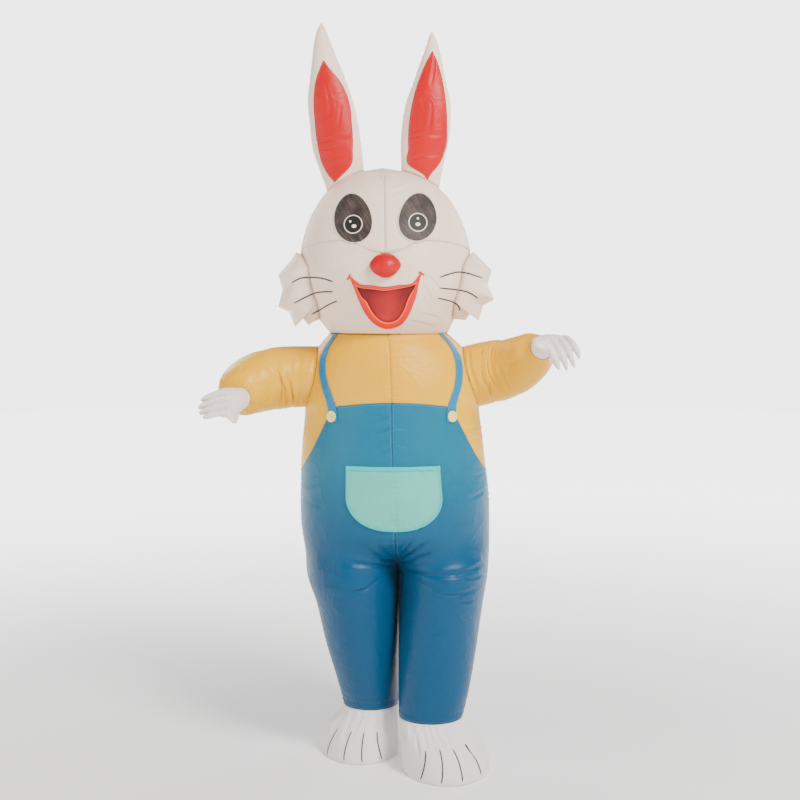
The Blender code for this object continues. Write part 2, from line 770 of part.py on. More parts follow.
def head_top(x, y):
    """Height of the head's upper surface over a place seen from above."""
    low = np.full(np.shape(x), 1.70)
    high = np.full(np.shape(x), CROWN_HEIGHT)
    for _ in range(24):
        height = (low + high) / 2
        depth = np.where(y < 0, HEAD.at("front", height), HEAD.at("back", height))
        inside = ((x - HEAD.at("middle", height)) / HEAD.at("half_width", height)) ** 2 + (y / depth) ** 2 < 1
        low = np.where(inside, height, low)
        high = np.where(inside, high, height)
    return low


def build_ear_inner(maker, side_name, table):
    inner_table = EAR_INNER[side_name]

    def applique(height, share):
        low = inner_table.at("low_x", height)
        high = inner_table.at("high_x", height)
        x = low + (high - low) * share
        ear_low = table.at("low_x", height)
        ear_high = table.at("high_x", height)
        reach = (2 * x - ear_low - ear_high) / (ear_high - ear_low)
        y = -table.at("half_depth", height) * np.sqrt(np.clip(1 - reach ** 2, 0.02, 1))
        return np.stack([x, y, height], axis=-1)

    rows = spread(inner_table.key[0], inner_table.key[-1], 8)
    grids = wall(applique, rows, spread(0, 1, 8), APPLIQUE, EAR_INNER_LIFT[side_name], axis=(0.0, 1.0, 2.1))
    maker.shell(f"ear_inner_{side_name}", grids, "red")


def build_tufts(maker):
    for side_name, side in SIDES.items():
        table = TUFT[side_name].columns
        tips = np.stack([table["x"], 0 * table["x"] - 0.028, table["z"]], axis=-1)[:, None]
        fullness = table["depth"][:, None]
        turn = spread(0, np.pi, 8)[None, :]
        height = table["root"][:, None]
        front = head_side(side, 30 * fullness, height)
        back = head_side(side, -20 * fullness, height)
        middle = (front + back) / 2
        reach = tips - middle
        half = (front - back) / 2
        bulge = (np.abs(np.sin(turn)) ** 0.8)[..., None]
        sway = np.cos(turn)[..., None]
        outer = middle + reach * bulge + half * sway
        inner = middle + (inset_line(tips, side, 0.0034) - middle) * bulge + shorter(half, 0.0036) * sway
        maker.shell(f"cheek_tuft_{side_name}", (outer, inner), "white")


def inset_line(tips, side, amount):
    """Edge line moved in by an amount, square to its two neighbours."""
    line = tips[:, 0, :]
    ahead = np.diff(line, axis=0)
    first = np.concatenate([ahead[:1], ahead])
    second = np.concatenate([ahead, ahead[-1:]])
    normals = []
    for arrows in (first, second):
        arrows = arrows / np.linalg.norm(arrows, axis=-1, keepdims=True)
        normals.append(np.stack([arrows[:, 2], 0 * arrows[:, 0], -arrows[:, 0]], axis=-1) * side)
    total = normals[0] + normals[1]
    total /= np.maximum(np.sum(total * total, axis=-1, keepdims=True), 0.8)
    return (line + 2 * total * amount)[:, None]


def shorter(arrows, length):
    size = np.linalg.norm(arrows, axis=-1, keepdims=True)
    return arrows * np.clip(1 - length / size, 0.3, 1)


def head_side(side, degrees, height):
    angle = np.radians(degrees)
    shown = angle if side > 0 else np.pi - angle
    return moved_out(head, shown, height, 0.0022)


# Top, sleeves and gloves
TOP_ROWS = np.linspace(0, 1, 9)
TOP_COLUMNS = np.linspace(0, 1, 10)


def top_place(share_up, share):
    """Angle and height on the trunk between the bib's edge and the neck seam."""
    seam = BIB_EDGE.at("height", share * 90) + SEAM_GAP / 2
    return share * RIGHT_ANGLE, seam + (NECK_HEIGHT - SEAM_GAP / 2 - seam) * share_up


def armhole_way(side):
    matrix = Matrix.Translation((side * 0.25, 0.0, ARMHOLE["height"] - HOLD_HEIGHT))
    matrix = matrix @ Matrix.Rotation(RIGHT_ANGLE, 4, "Y")
    matrix = matrix @ Matrix.Diagonal((ARMHOLE["half_height"], ARMHOLE["half_depth"], 1.0, 1.0))
    return revolved([(0, -0.13), (1, -0.13), (1, 0.13), (0, 0.13)], 16, matrix)


def build_top(maker):
    for side_name, side in SIDES.items():
        for face_name, face in FACES.items():
            share_up, share = np.meshgrid(TOP_ROWS, TOP_COLUMNS, indexing="ij")
            grids = panel_layer(trunk, side, face, *top_place(share_up, share))
            item = maker.shell(f"top_{face_name}_{side_name}", grids, "yellow")
            maker.cut(item, maker.cutter(f"armhole_way_{face_name}_{side_name}", armhole_way(side)))


def sleeve_surface(side_name, side):
    table = SLEEVE[side_name]

    def surface(along, turn):
        step = 0.01
        centre = np.stack([table.at(axis, along) for axis in "xyz"], axis=-1)
        ahead = np.stack([table.at(axis, np.minimum(along + step, 1)) for axis in "xyz"], axis=-1)
        behind = np.stack([table.at(axis, np.maximum(along - step, 0)) for axis in "xyz"], axis=-1)
        way = ahead - behind
        way /= np.linalg.norm(way, axis=-1, keepdims=True)
        across = np.cross(way, np.array([0.0, 0.0, 1.0]))
        across /= np.linalg.norm(across, axis=-1, keepdims=True)
        above = np.cross(across, way)
        radius = table.at("radius", along) * sleeve_fullness(along, turn)
        tube = np.cos(turn)[..., None] * across * side + np.sin(turn)[..., None] * above
        tube = centre + radius[..., None] * tube
        part = smooth_step(along / 0.22)[..., None]
        return sleeve_root(side, turn, 0.0009) * (1 - part) + tube * part

    return surface


def sleeve_root(side, turn, trim):
    """Armhole ring, just outside the top and drawn in by a trim."""
    y = -(ARMHOLE["half_depth"] - trim) * np.cos(turn)
    z = ARMHOLE["height"] + (ARMHOLE["half_height"] - trim) * np.sin(turn)
    depth = np.where(y < 0, TRUNK.at("front", z), TRUNK.at("back", z))
    x = TRUNK.at("half_width", z) * np.sqrt(1 - (y / depth) ** 2)
    return np.stack([TRUNK.at("middle", z) + side * (x + 0.0007), y, z], axis=-1)


def sleeve_fullness(along, turn):
    """Soft folds across the elbow and gathers at the cuff."""
    elbow = 0.035 * np.exp(-(((along - 0.42) / 0.05) ** 2)) * (0.6 + 0.4 * np.cos(turn - 0.6))
    second = 0.030 * np.exp(-(((along - 0.22) / 0.035) ** 2)) * (0.5 + 0.5 * np.cos(turn + 2.2))
    gathers = 0.030 * smooth_step((along - 0.80) / 0.15) * smooth_step((1 - along) / 0.06) * np.cos(6 * turn)
    return 1 - elbow - second + gathers


def build_sleeves(maker):
    for side_name, side in SIDES.items():
        rows = np.array([0, 0.10, 0.22, 0.32, 0.42, 0.52, 0.62, 0.74, 0.85, 0.93, 1.0])
        turns = np.arange(16) * np.pi / 8
        surface = sleeve_surface(side_name, side)
        row_grid, turn_grid = np.meshgrid(rows, turns, indexing="ij")
        outer = surface(row_grid, turn_grid)
        middle = outer.mean(axis=1, keepdims=True)
        normals = grid_normals(surface, np.clip(row_grid, 0.001, 0.999), turn_grid)
        flip = np.sign(np.sum(normals * (outer - middle), axis=-1, keepdims=True))
        inner = outer - normals * flip * CLOTH
        inner[0] = sleeve_root(side, turns, 0.0009 + CLOTH)
        maker.shell(f"sleeve_{side_name}", (outer, inner), "yellow", loop=True)


# Dungarees
LOW_ROWS = (0.24, 0.32, 0.39, 0.42, 0.46, 0.49, 0.52, 0.56, 0.59, 0.62, 0.65, 0.69, 0.74, 0.79, 0.85)
BIB_SHARES = (0.25, 0.5, 0.75, 1.0)


def dungaree_panel(side, face):
    steps = np.array([HEM_HEIGHT, *LOW_ROWS])
    levels = np.arange(len(steps) + len(BIB_SHARES))

    def surface(level, share):
        edge = BIB_EDGE.at("height", share * 90) - SEAM_GAP / 2
        low = np.interp(level, levels[: len(steps)], steps)
        up = np.clip(level - (len(steps) - 1), 0, None) / len(BIB_SHARES)
        height = low + (edge - steps[-1]) * up
        point = dungaree(side, face, share, height)
        point[..., 0] += side * 0.0002
        point[..., 1] -= face * 0.0002
        return point

    return surface, levels


def build_dungarees(maker):
    for side_name, side in SIDES.items():
        for face_name, face in FACES.items():
            surface, levels = dungaree_panel(side, face)
            row_grid, share_grid = np.meshgrid(levels.astype(float), np.linspace(0, 1, 10), indexing="ij")
            outer = surface(row_grid, share_grid)
            normals = level_normals(side, face, outer[..., 2], share_grid)
            outer = outer - normals * crease_depth(outer, face)[..., None]
            grids = level_edges(outer, outer - normals * CLOTH)
            item = maker.shell(f"dungarees_{face_name}_{side_name}", grids, "blue")
            if (side_name, face_name) == ("left", "back"):
                maker.cut(item, maker.cutter("fan_way", fan_way()))


def level_normals(side, face, height, share):
    step = 1e-4
    across = dungaree(side, face, share + step, height) - dungaree(side, face, share - step, height)
    along = dungaree(side, face, share, height + step) - dungaree(side, face, share, height - step)
    normal = np.cross(across, along)
    normal /= np.linalg.norm(normal, axis=-1, keepdims=True)
    return -normal * side * face


def pocket_low(angle):
    reach = np.clip(np.abs(angle - RIGHT_ANGLE) / np.radians(POCKET["half_angle"]), 0, 1)
    return POCKET["bottom"] + (POCKET["straight"] - POCKET["bottom"]) * (1 - np.sqrt(1 - reach ** 2.4))


def build_pocket(maker):
    half = np.radians(POCKET["half_angle"])
    angles = RIGHT_ANGLE + np.concatenate([[-half], np.radians(np.arange(-20, 21, 10)), [half]])
    share, angle = np.meshgrid(spread(0, 1, 5), angles, indexing="ij")
    low = pocket_low(angle)
    height = low + (POCKET["top"] - low) * share
    inner = moved_out(trunk, angle, height, LIE_GAP)
    outer = moved_out(trunk, angle, height, LIE_GAP + APPLIQUE)
    maker.shell("pocket", (outer, inner), "teal")
    grids = []
    for out in (LIE_GAP + APPLIQUE + 0.0022, LIE_GAP + APPLIQUE + 0.0009):
        rings = []
        for inset in (0.0, 1.0):
            rings.append(moved_out(trunk, *pocket_border(inset), out))
        grids.append(np.stack(rings))
    maker.shell("pocket_binding", tuple(grids), "teal_light", loop=True)


def pocket_border(inset):
    """Angle and height round the pocket's edge, drawn in by the binding's width."""
    half = np.radians(POCKET["half_angle"])
    trim = inset * POCKET["binding"]
    across = half - trim / 0.27
    bottom = RIGHT_ANGLE + across * np.cos(spread(np.pi, 0, 15))
    reach = np.abs(bottom - RIGHT_ANGLE) / across
    straight = POCKET["straight"]
    low = POCKET["bottom"] + trim
    heights = low + (straight - low) * (1 - np.sqrt(np.clip(1 - reach ** 2.4, 0, 1)))
    top = RIGHT_ANGLE + across * np.array([29, 20, 10, 0, -10, -20, -29]) / 29
    angles = np.concatenate([bottom, top])
    heights = np.concatenate([heights, np.full(7, POCKET["top"] - trim)])
    return angles, heights


def build_straps(maker):
    for side_name, side in SIDES.items():
        for face_name, face in FACES.items():
            along = np.array([0, 0.08, 0.16, 0.24, 0.32, 0.40, 0.46, 0.52, 0.56, 0.60, 0.64])
            angle = np.radians(STRAP.at("angle", along))
            height = STRAP.at("height", along)
            point = trunk(angle, height)
            nearby = np.gradient(point, axis=0)
            up = nearby / np.linalg.norm(nearby, axis=-1, keepdims=True)
            across = TRUNK.at("half_width", height) * np.sin(angle)
            radius = np.hypot(across, TRUNK.at("front", height) * np.cos(angle))
            half = STRAP_WIDTH / 2 / radius * np.clip(up[:, 2], 0.6, 1)
            shift = np.array([-1, 0, 1])[None, :]
            angles = angle[:, None] + half[:, None] * shift
            heights = height[:, None] + 0 * shift
            shown = face * (angles if side > 0 else np.pi - angles)
            inner = moved_out(trunk, shown, heights, LIE_GAP + 0.0004)
            outer = moved_out(trunk, shown, heights, LIE_GAP + 0.0004 + APPLIQUE)
            maker.shell(f"strap_{face_name}_{side_name}", (outer, inner), "strap")
        build_button(maker, side_name, side)


def build_button(maker, side_name, side):
    angle = np.radians(BUTTON["angle"])
    shown = angle if side > 0 else np.pi - angle
    height = np.array(BUTTON["height"])
    place = moved_out(trunk, np.array(shown), height, LIE_GAP + 0.0004 + APPLIQUE + 0.0004)
    further = moved_out(trunk, np.array(shown), height, 0.1)
    way = further - place
    way /= np.linalg.norm(way)
    across = np.cross((0, 0, 1.0), way)
    across /= np.linalg.norm(across)
    above = np.cross(way, across)
    matrix = Matrix(((across[0], above[0], way[0], place[0]),
                     (across[1], above[1], way[1], place[1]),
                     (across[2], above[2], way[2], place[2] - HOLD_HEIGHT),
                     (0, 0, 0, 1)))
    radius, thick = BUTTON["radius"], BUTTON["thickness"]
    profile = [(0, 0), (radius * 0.92, 0), (radius, thick * 0.4), (radius * 0.9, thick), (radius * 0.7, thick),
               (radius * 0.6, thick * 0.7), (0, thick * 0.7)]
    mesh = revolved(profile, 16, matrix)
    maker.add(f"button_front_{side_name}", mesh, "cream")


# Shoe covers
def build_feet(maker):
    for side_name, side in SIDES.items():
        foot = FOOT[side_name]

        def surface(level, turn, foot=foot, side=side, side_name=side_name):
            height = np.interp(level, np.arange(len(FOOT_RINGS.key)), FOOT_RINGS.key)
            part = FOOT_RINGS.at("spread", height)
            top_inner = TRUNK.at("middle", height) + side * 0.0008
            top_outer = side * LEG.at(f"outer_{side_name}", np.full(height.shape, HEM_HEIGHT))
            middle = (top_inner + top_outer) / 2
            half = np.abs(top_outer - top_inner) / 2
            depth = LEG.at("front_back", np.full(height.shape, HEM_HEIGHT))
            forward = STEP_FORWARD.at(side_name, np.full(height.shape, HEM_HEIGHT))
            folds = 1 + 0.022 * np.cos(9 * turn + side) * np.sin(np.pi * np.clip(part, 0, 1)) ** 0.7
            x = (middle + half * np.cos(turn)) * (1 - part)
            x = x + (foot["x"] + foot["half_width"] * folds * np.cos(turn)) * part
            y = (forward - depth * np.sin(turn)) * (1 - part)
            y = y + (foot["y"] - foot["half_length"] * folds * np.sin(turn)) * part
            inside = TRUNK.at("middle", height) + side * 0.0015
            x = np.where(side * (x - inside) < 0, inside + 0 * x, x)
            return np.stack([x, y, height], axis=-1)

        levels = np.arange(len(FOOT_RINGS.key)).astype(float)
        turns = np.arange(16) * np.pi / 8
        level, turn = np.meshgrid(levels, turns, indexing="ij")
        outer = surface(level, turn)
        inward = outer.mean(axis=1, keepdims=True) - outer
        inward[..., 2] = -0.02
        inward /= np.linalg.norm(inward, axis=-1, keepdims=True)
        inner = outer + inward * CLOTH * 1.1
        inner[0, :, 2] = outer[0, :, 2]
        inner[-1, :, 2] = outer[-1, :, 2]
        maker.shell(f"shoe_cover_{side_name}", (outer, inner), "white", loop=True)


def fan_way():
    return revolved([(0, -0.2), (FAN["barrel"] + 0.0016, -0.2), (FAN["barrel"] + 0.0016, 0.2), (0, 0.2)], 28,
                    fan_matrix())


def fan_matrix():
    reach = (FAN["x"] - TRUNK.at("middle", FAN["height"])) / TRUNK.at("half_width", FAN["height"])
    angle = -np.arccos(reach)
    place = moved_out(trunk, np.array(angle), np.array(FAN["height"]), 0.0)
    further = moved_out(trunk, np.array(angle), np.array(FAN["height"]), 0.1)
    way = further - place
    way /= np.linalg.norm(way)
    across = np.cross((0, 0, 1.0), way)
    across /= np.linalg.norm(across)
    above = np.cross(way, across)
    return Matrix(((across[0], above[0], way[0], place[0]),
                   (across[1], above[1], way[1], place[1]),
                   (across[2], above[2], way[2], place[2] - HOLD_HEIGHT),
                   (0, 0, 0, 1)))


# Gloves
def glove_frame(side_name, along):
    """Centre, width direction, palm normal and way of the hand at places along it."""
    table = GLOVE[side_name]
    centre = np.stack([table.at(axis, along) for axis in "xyz"], axis=-1)
    ahead = np.stack([table.at(axis, np.minimum(along + 0.03, 1)) for axis in "xyz"], axis=-1)
    behind = np.stack([table.at(axis, np.maximum(along - 0.03, 0)) for axis in "xyz"], axis=-1)
    way = (ahead - behind) / np.linalg.norm(ahead - behind, axis=-1, keepdims=True)
    across = np.array(GLOVE_ACROSS[side_name]) + 0 * way
    across = across - way * np.sum(across * way, axis=-1, keepdims=True)
    across /= np.linalg.norm(across, axis=-1, keepdims=True)
    return centre, across, np.cross(across, way), way


def glove_points(side_name, shrink):
    """Grid over the back of the hand and round under the palm, drawn in by an amount."""
    back = HAND.columns
    names = ("place", "lobe", "reach", "inside")
    place, lobe, reach, inside = [np.concatenate([back[name], back[name][-2:0:-1]]) for name in names]
    row = HAND_ROWS[:, None]
    split = smooth_step((row - 0.44) / 0.16)
    share = shrink / GLOVE_CLOTH
    reach = reach - share * np.where(lobe < 0.6, 0.020, 0.009)
    along = np.minimum(row, 0.56) + np.clip(row - 0.56, 0, None) * (reach - 0.56) / 0.44
    flat = smooth_step((row - 0.15) / 0.35)
    round_place = -np.cos(np.linspace(0, np.pi, 13))
    round_place = np.concatenate([round_place, round_place[-2:0:-1]])
    wide = round_place * (1 - flat) + place * flat
    palm = np.sqrt(np.clip(1 - wide ** 2, 0, 1))
    high = palm * (1 - split) + lobe * split
    high = high * np.sqrt(np.clip(1 - np.clip((row - 0.84) / 0.16, 0, 1) ** 2, 0, 1))
    table = GLOVE[side_name]
    centre, across, normal, way = glove_frame(side_name, along)
    half_width = table.at("half_width", along)
    width = (wide + share * inside * split) * half_width - wide * shrink * (1 - split)
    depth = high * table.at("half_depth", along)
    depth = depth - np.minimum(shrink, 0.5 * depth)
    depth = depth * np.where(np.arange(24) > 12, -1.0, 1.0)
    near = np.maximum(0, -place - 0.6) / 0.4
    out = THUMB.at("outward", row) * near * (1 - share * 0.06)
    forward = THUMB.at("forward", row) * near
    points = centre + (width - out)[..., None] * across + depth[..., None] * normal
    return points + forward[..., None] * way


def build_gloves(maker):
    for side_name in SIDES:
        grids = (glove_points(side_name, 0.0), glove_points(side_name, GLOVE_CLOTH))
        mesh = shell_mesh(f"glove_{side_name}", *grids, loop=True, closed_end=True)
        maker.add(f"glove_{side_name}", mesh, "glove")


# Zip and fan at the back
def build_zip(maker):
    edge = BIB_EDGE.at("height", 90.0)
    rows = np.concatenate([LOW_ROWS[-2:], LOW_ROWS[-1] + (edge - LOW_ROWS[-1]) * np.array(BIB_SHARES),
                           edge + (NECK_HEIGHT - edge) * TOP_ROWS[1:-1], [ZIP["top"]]])
    half = ZIP["width"] / 2 / 0.31
    height, angle = np.meshgrid(rows, -RIGHT_ANGLE + half * np.array([-1.0, 0.0, 1.0]), indexing="ij")
    maker.shell("zip_tape", layer(trunk, angle, height, LIE_GAP, LIE_GAP + 0.0010), "zip_grey")
    height = np.array(ZIP["slider"])
    place = moved_out(trunk, np.array(-RIGHT_ANGLE), height, LIE_GAP + 0.0010 + 0.0004)
    lean = np.arctan2(*(moved_out(trunk, np.array(-RIGHT_ANGLE), height, 0.1) - place)[[2, 1]])
    frame = Matrix.Translation(place - [0, 0, HOLD_HEIGHT]) @ Matrix.Rotation(lean, 4, "X")
    slider = box_mesh((0.011, 0.0045, 0.015), (0, 0.00225, 0), 0.0012)
    slider.transform(frame)
    maker.add("zip_slider", slider, "zip_metal")
    hinge = frame @ Matrix.Translation((0, 0.0057, 0.004))
    length = PULL["length"]
    pull = box_mesh((PULL["width"], PULL["thickness"], length), (0, 0, 0.0008 - length / 2), 0.0007)
    item = maker.add("zip_pull", pull, "zip_metal")
    item.matrix_world = hinge


def box_mesh(size, centre, bevel):
    work = bmesh.new()
    bmesh.ops.create_cube(work, size=1.0)
    bmesh.ops.scale(work, vec=size, verts=work.verts)
    bmesh.ops.bevel(work, geom=work.edges, offset=bevel, segments=1, affect="EDGES")
    bmesh.ops.translate(work, vec=centre, verts=work.verts)
    mesh = bpy.data.meshes.new("box")
    work.to_mesh(mesh)
    work.free()
    return mesh


def build_fan(maker):
    bore, barrel, flange, depth = FAN["bore"], FAN["barrel"], FAN["flange"], FAN["depth"]
    rise = 0.0004
    profile = [(bore, -depth), (barrel, -depth), (barrel, rise), (flange, rise), (flange - 0.001, rise + 0.003),
               (bore, rise + 0.003)]
    maker.add("fan_housing", revolved(profile, 24, fan_matrix()), "black")
    maker.add("fan_guard", guard_mesh(bore * np.cos(np.pi / 24) - 0.0004, rise, fan_matrix()), "black")
    rotor = maker.add("fan_rotor", rotor_mesh(), "black")
    rotor.matrix_world = fan_matrix() @ Matrix.Translation((0, 0, -0.014))


BOSS_END = -0.0046


def guard_mesh(radius, rise, matrix):
    """Round guard: hub with a boss for the rotor, six spokes and rim, gaps cut through."""
    work = bmesh.new()
    angles = []
    for spoke in range(6):
        angles += [spoke * np.pi / 3 + turn for turn in (-0.07, 0.07, np.pi / 6 + 0.0)]
    levels = (0.013, radius - 0.004, radius)
    top, low = rise + 0.0028, rise + 0.0008
    grids = {}
    for name, height in (("top", top), ("low", low)):
        grids[name] = [[work.verts.new((r * np.cos(a), r * np.sin(a), height)) for a in angles] for r in levels]
    hub = work.verts.new((0, 0, top))
    boss = work.verts.new((0, 0, BOSS_END))
    boss_rings = [[work.verts.new((0.007 * np.cos(a), 0.007 * np.sin(a), z)) for a in angles] for z in (low, BOSS_END)]
    count = len(angles)
    for place in range(count):
        after = (place + 1) % count
        spoke = place % 3 == 0
        work.faces.new((hub, grids["top"][0][place], grids["top"][0][after]))
        work.faces.new((boss, boss_rings[1][after], boss_rings[1][place]))
        work.faces.new((boss_rings[0][place], boss_rings[0][after], boss_rings[1][after], boss_rings[1][place]))
        work.faces.new((grids["low"][0][place], grids["low"][0][after], boss_rings[0][after], boss_rings[0][place]))
        for name, flip in (("top", False), ("low", True)):
            for level in ((0, 1) if spoke else (1,)):
                quad = [grids[name][level][place], grids[name][level][after],
                        grids[name][level + 1][after], grids[name][level + 1][place]]
                work.faces.new(quad[::-1] if flip else quad)
        walls = [(2, place, after)]
        if not spoke:
            walls += [(0, place, after), (1, place, after)]
        for level, first, second in walls:
            work.faces.new((grids["top"][level][first], grids["top"][level][second],
                            grids["low"][level][second], grids["low"][level][first]))
        if spoke:
            for edge in (place, after):
                work.faces.new((grids["top"][0][edge], grids["top"][1][edge],
                                grids["low"][1][edge], grids["low"][0][edge]))
    bmesh.ops.recalc_face_normals(work, faces=work.faces)
    work.transform(matrix)
    mesh = bpy.data.meshes.new("guard")
    work.to_mesh(mesh)
    work.free()
    return mesh


def rotor_mesh():
    """Ten-sided hub with five twisted blades grown from every second side."""
    work = bmesh.new()
    radius, half = 0.011, 0.009
    rings = []
    for height in (-half, half):
        rings.append([work.verts.new((radius * np.cos(k * np.pi / 5), radius * np.sin(k * np.pi / 5), height))
                      for k in range(10)])
    poles = [work.verts.new((0, 0, -half)), work.verts.new((0, 0, half))]
    for place in range(10):
        after = (place + 1) % 10
        work.faces.new((poles[0], rings[0][after], rings[0][place]))
        work.faces.new((poles[1], rings[1][place], rings[1][after]))
        corners = [rings[0][place], rings[0][after], rings[1][after], rings[1][place]]
        if place % 2:
            work.faces.new(corners)
            continue
        middle = (place + 0.5) * np.pi / 5
        way = np.array([np.cos(middle), np.sin(middle), 0])
        across = np.array([-np.sin(middle), np.cos(middle), 0])
        chord = across * 0.0125 + np.array([0, 0, 0.0075])
        thick = np.array([0, 0, 0.0007]) - across * 0.0004
        tips = [way * 0.041 + point for point in (-chord - thick, chord - thick, chord + thick, -chord + thick)]
        tips = [work.verts.new(point) for point in tips]
        for step in range(4):
            after_step = (step + 1) % 4
            work.faces.new((corners[step], corners[after_step], tips[after_step], tips[step]))
        work.faces.new(tips)
    bmesh.ops.recalc_face_normals(work, faces=work.faces)
    mesh = bpy.data.meshes.new("rotor")
    work.to_mesh(mesh)
    work.free()
    return mesh


def main():
    clear_scene()
    subject = new_collection(SUBJECT)
    helpers = new_collection(HELPERS, hidden=True)
    materials = {
        "white": new_material("white_polyester", (0.72, 0.66, 0.62), 0.55),
        "red": new_material("red_polyester", (0.72, 0.04, 0.06), 0.50),
        "orange": new_material("orange_trim", (0.80, 0.07, 0.02), 0.50),
        "mesh_red": new_material("dark_red_mesh", (0.36, 0.02, 0.02), 0.80),
        "eye_grey": new_material("eye_print", (0.07, 0.05, 0.04), 0.70),
        "yellow": new_material("yellow_nylon", (0.76, 0.46, 0.05), 0.42),
        "blue": new_material("blue_nylon", (0.02, 0.20, 0.42), 0.38),
        "strap": new_material("strap_nylon", (0.06, 0.32, 0.46), 0.45),
        "teal": new_material("teal_nylon", (0.26, 0.58, 0.52), 0.50),
        "teal_light": new_material("teal_binding", (0.22, 0.66, 0.64), 0.50),
        "cream": new_material("cream_button", (0.78, 0.70, 0.24), 0.40),
        "glove": new_material("glove_satin", (0.62, 0.55, 0.54), 0.45),
        "black": new_material("black_plastic", (0.02, 0.02, 0.02), 0.45),
        "zip_grey": new_material("zip_tape", (0.30, 0.30, 0.31), 0.70),
        "zip_metal": new_material("zip_metal", (0.50, 0.50, 0.50), 0.35, 1.0),
    }
    maker = Maker(subject, helpers, materials)
    build_head(maker)
    build_ears(maker)
    build_tufts(maker)
    build_top(maker)
    build_sleeves(maker)
    build_dungarees(maker)
    build_pocket(maker)
    build_straps(maker)
    build_feet(maker)
    build_gloves(maker)
    build_zip(maker)
    build_fan(maker)


main()
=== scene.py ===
"""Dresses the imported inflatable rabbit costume: thin cloth, prints, stitching, fittings, floor, lights, camera.

Metres. Heights in the tables are above the floor, and every point is lowered by HOLD_HEIGHT, because the
origin is where the wearer's shoulders carry the suit. The costume faces -Y, left and right are the wearer's.
"""

import logging
from collections.abc import Callable, Sequence
from dataclasses import dataclass, field
from enum import Enum

import bmesh
import bpy
import numpy as np
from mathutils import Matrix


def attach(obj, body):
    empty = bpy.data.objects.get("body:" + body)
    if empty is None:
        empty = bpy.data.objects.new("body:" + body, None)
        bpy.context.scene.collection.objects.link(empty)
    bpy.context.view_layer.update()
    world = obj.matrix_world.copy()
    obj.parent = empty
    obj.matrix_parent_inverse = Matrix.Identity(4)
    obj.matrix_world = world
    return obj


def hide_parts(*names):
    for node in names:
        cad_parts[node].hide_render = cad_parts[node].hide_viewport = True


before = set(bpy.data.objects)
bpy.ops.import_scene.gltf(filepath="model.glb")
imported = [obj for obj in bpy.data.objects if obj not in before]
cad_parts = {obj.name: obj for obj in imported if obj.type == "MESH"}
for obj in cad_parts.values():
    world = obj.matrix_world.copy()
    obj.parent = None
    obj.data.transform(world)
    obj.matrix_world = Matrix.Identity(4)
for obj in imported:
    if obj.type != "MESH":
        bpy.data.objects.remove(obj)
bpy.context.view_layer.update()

LOG = logging.getLogger("costume")
Array = np.ndarray
Colour = tuple[float, float, float, float]
Surface = Callable[[Array, Array], Array]

HOLD_HEIGHT = 1.380
NECK_HEIGHT = 1.404
HEM_HEIGHT = 0.168
CROWN_HEIGHT = 1.939
FORK_LOW = 0.590
FORK_HIGH = 0.780
SEAM_GAP = 0.0003
HAIR = 0.00005
APPLIQUE = 0.0014
LIE_GAP = 0.0009
ARM_HEIGHT = 1.262
ARM_HALF_HEIGHT = 0.099
ARM_HALF_DEPTH = 0.104
GROOVE_DEPTH = 0.0013
GROOVE_WIDTH = 0.0045
FAR = 9.0
WELD = 2e-6
QUARTER = np.pi / 2


class Side(Enum):
    """The wearer's left or right, as the sign of X."""

    LEFT = 1
    RIGHT = -1

    @property
    def word(self) -> str:
        """Name of the side in a node's name."""
        return self.name.lower()

    def seen(self, angle: Array | float, face: "Face | None" = None) -> Array | float:
        """Angle of an oval for one counted from this side's seam, on the front or on the face given."""
        return (face.value if face else 1) * (angle if self is Side.LEFT else np.pi - angle)


class Face(Enum):
    """Front or back of the suit, as the sign of the way towards the viewer."""

    FRONT = 1
    BACK = -1

    @property
    def word(self) -> str:
        """Name of the face in a node's name."""
        return self.name.lower()


def per_side(left: object, right: object) -> dict:
    """Default of a field that holds a value for each side."""
    return field(default_factory=lambda: {Side.LEFT: left, Side.RIGHT: right})


def hair(side: Side, face: Face) -> Array:
    """Shift of a panel away from the seams that it shares with its neighbours."""
    return HAIR * np.array([side.value, -face.value, 0])


# Sums on whole arrays
class Table:
    """Rows of sizes with named columns, read smoothly along the first column."""

    def __init__(self, names: str, rows: Sequence[Sequence[float]], loop: float = 0.0) -> None:
        """Keeps the columns.

        Args:
            names: Column names, the first is the one that the others are read along.
            rows: One row of numbers for each place.
            loop: Length after which the rows repeat, 0 where they do not.
        """
        sizes = np.array(rows, float)
        if loop:
            shift = np.zeros(sizes.shape[1])
            shift[0] = loop
            sizes = np.concatenate([sizes[-3:] - shift, sizes, sizes[:3] + shift])
        self.columns = dict(zip(names.split(), sizes.T))
        self.key = self.columns[names.split()[0]]
        self.loop = loop

    def at(self, name: str, value: Array) -> Array:
        """Cubic curve through one column: each piece meets the next with the mean slope of its neighbours.

        Args:
            name: Column to read.
            value: Places along the first column.

        Returns:
            The column's value at each place.
        """
        keys, heights = self.key, self.columns[name]
        slopes = np.gradient(heights, keys)
        value = np.mod(value, self.loop) if self.loop else np.clip(value, keys[0], keys[-1])
        low = np.clip(np.searchsorted(keys, value) - 1, 0, len(keys) - 2)
        step = keys[low + 1] - keys[low]
        part = (value - keys[low]) / step
        rise = part * part * (3 - 2 * part)
        start = part * (1 - part) ** 2 * step * slopes[low]
        end = part * part * (part - 1) * step * slopes[low + 1]
        return heights[low] * (1 - rise) + heights[low + 1] * rise + start + end

    def straight(self, name: str, value: Array) -> Array:
        """Column read along straight lines between its rows."""
        return np.interp(value, self.key, self.columns[name])


def in_mm(names: str, rows: Sequence[Sequence[float]], loop: float = 0.0) -> Table:
    """Table whose rows hold millimetres, and thousandths where a column is a share."""
    return Table(names, np.array(rows) / 1000, loop)


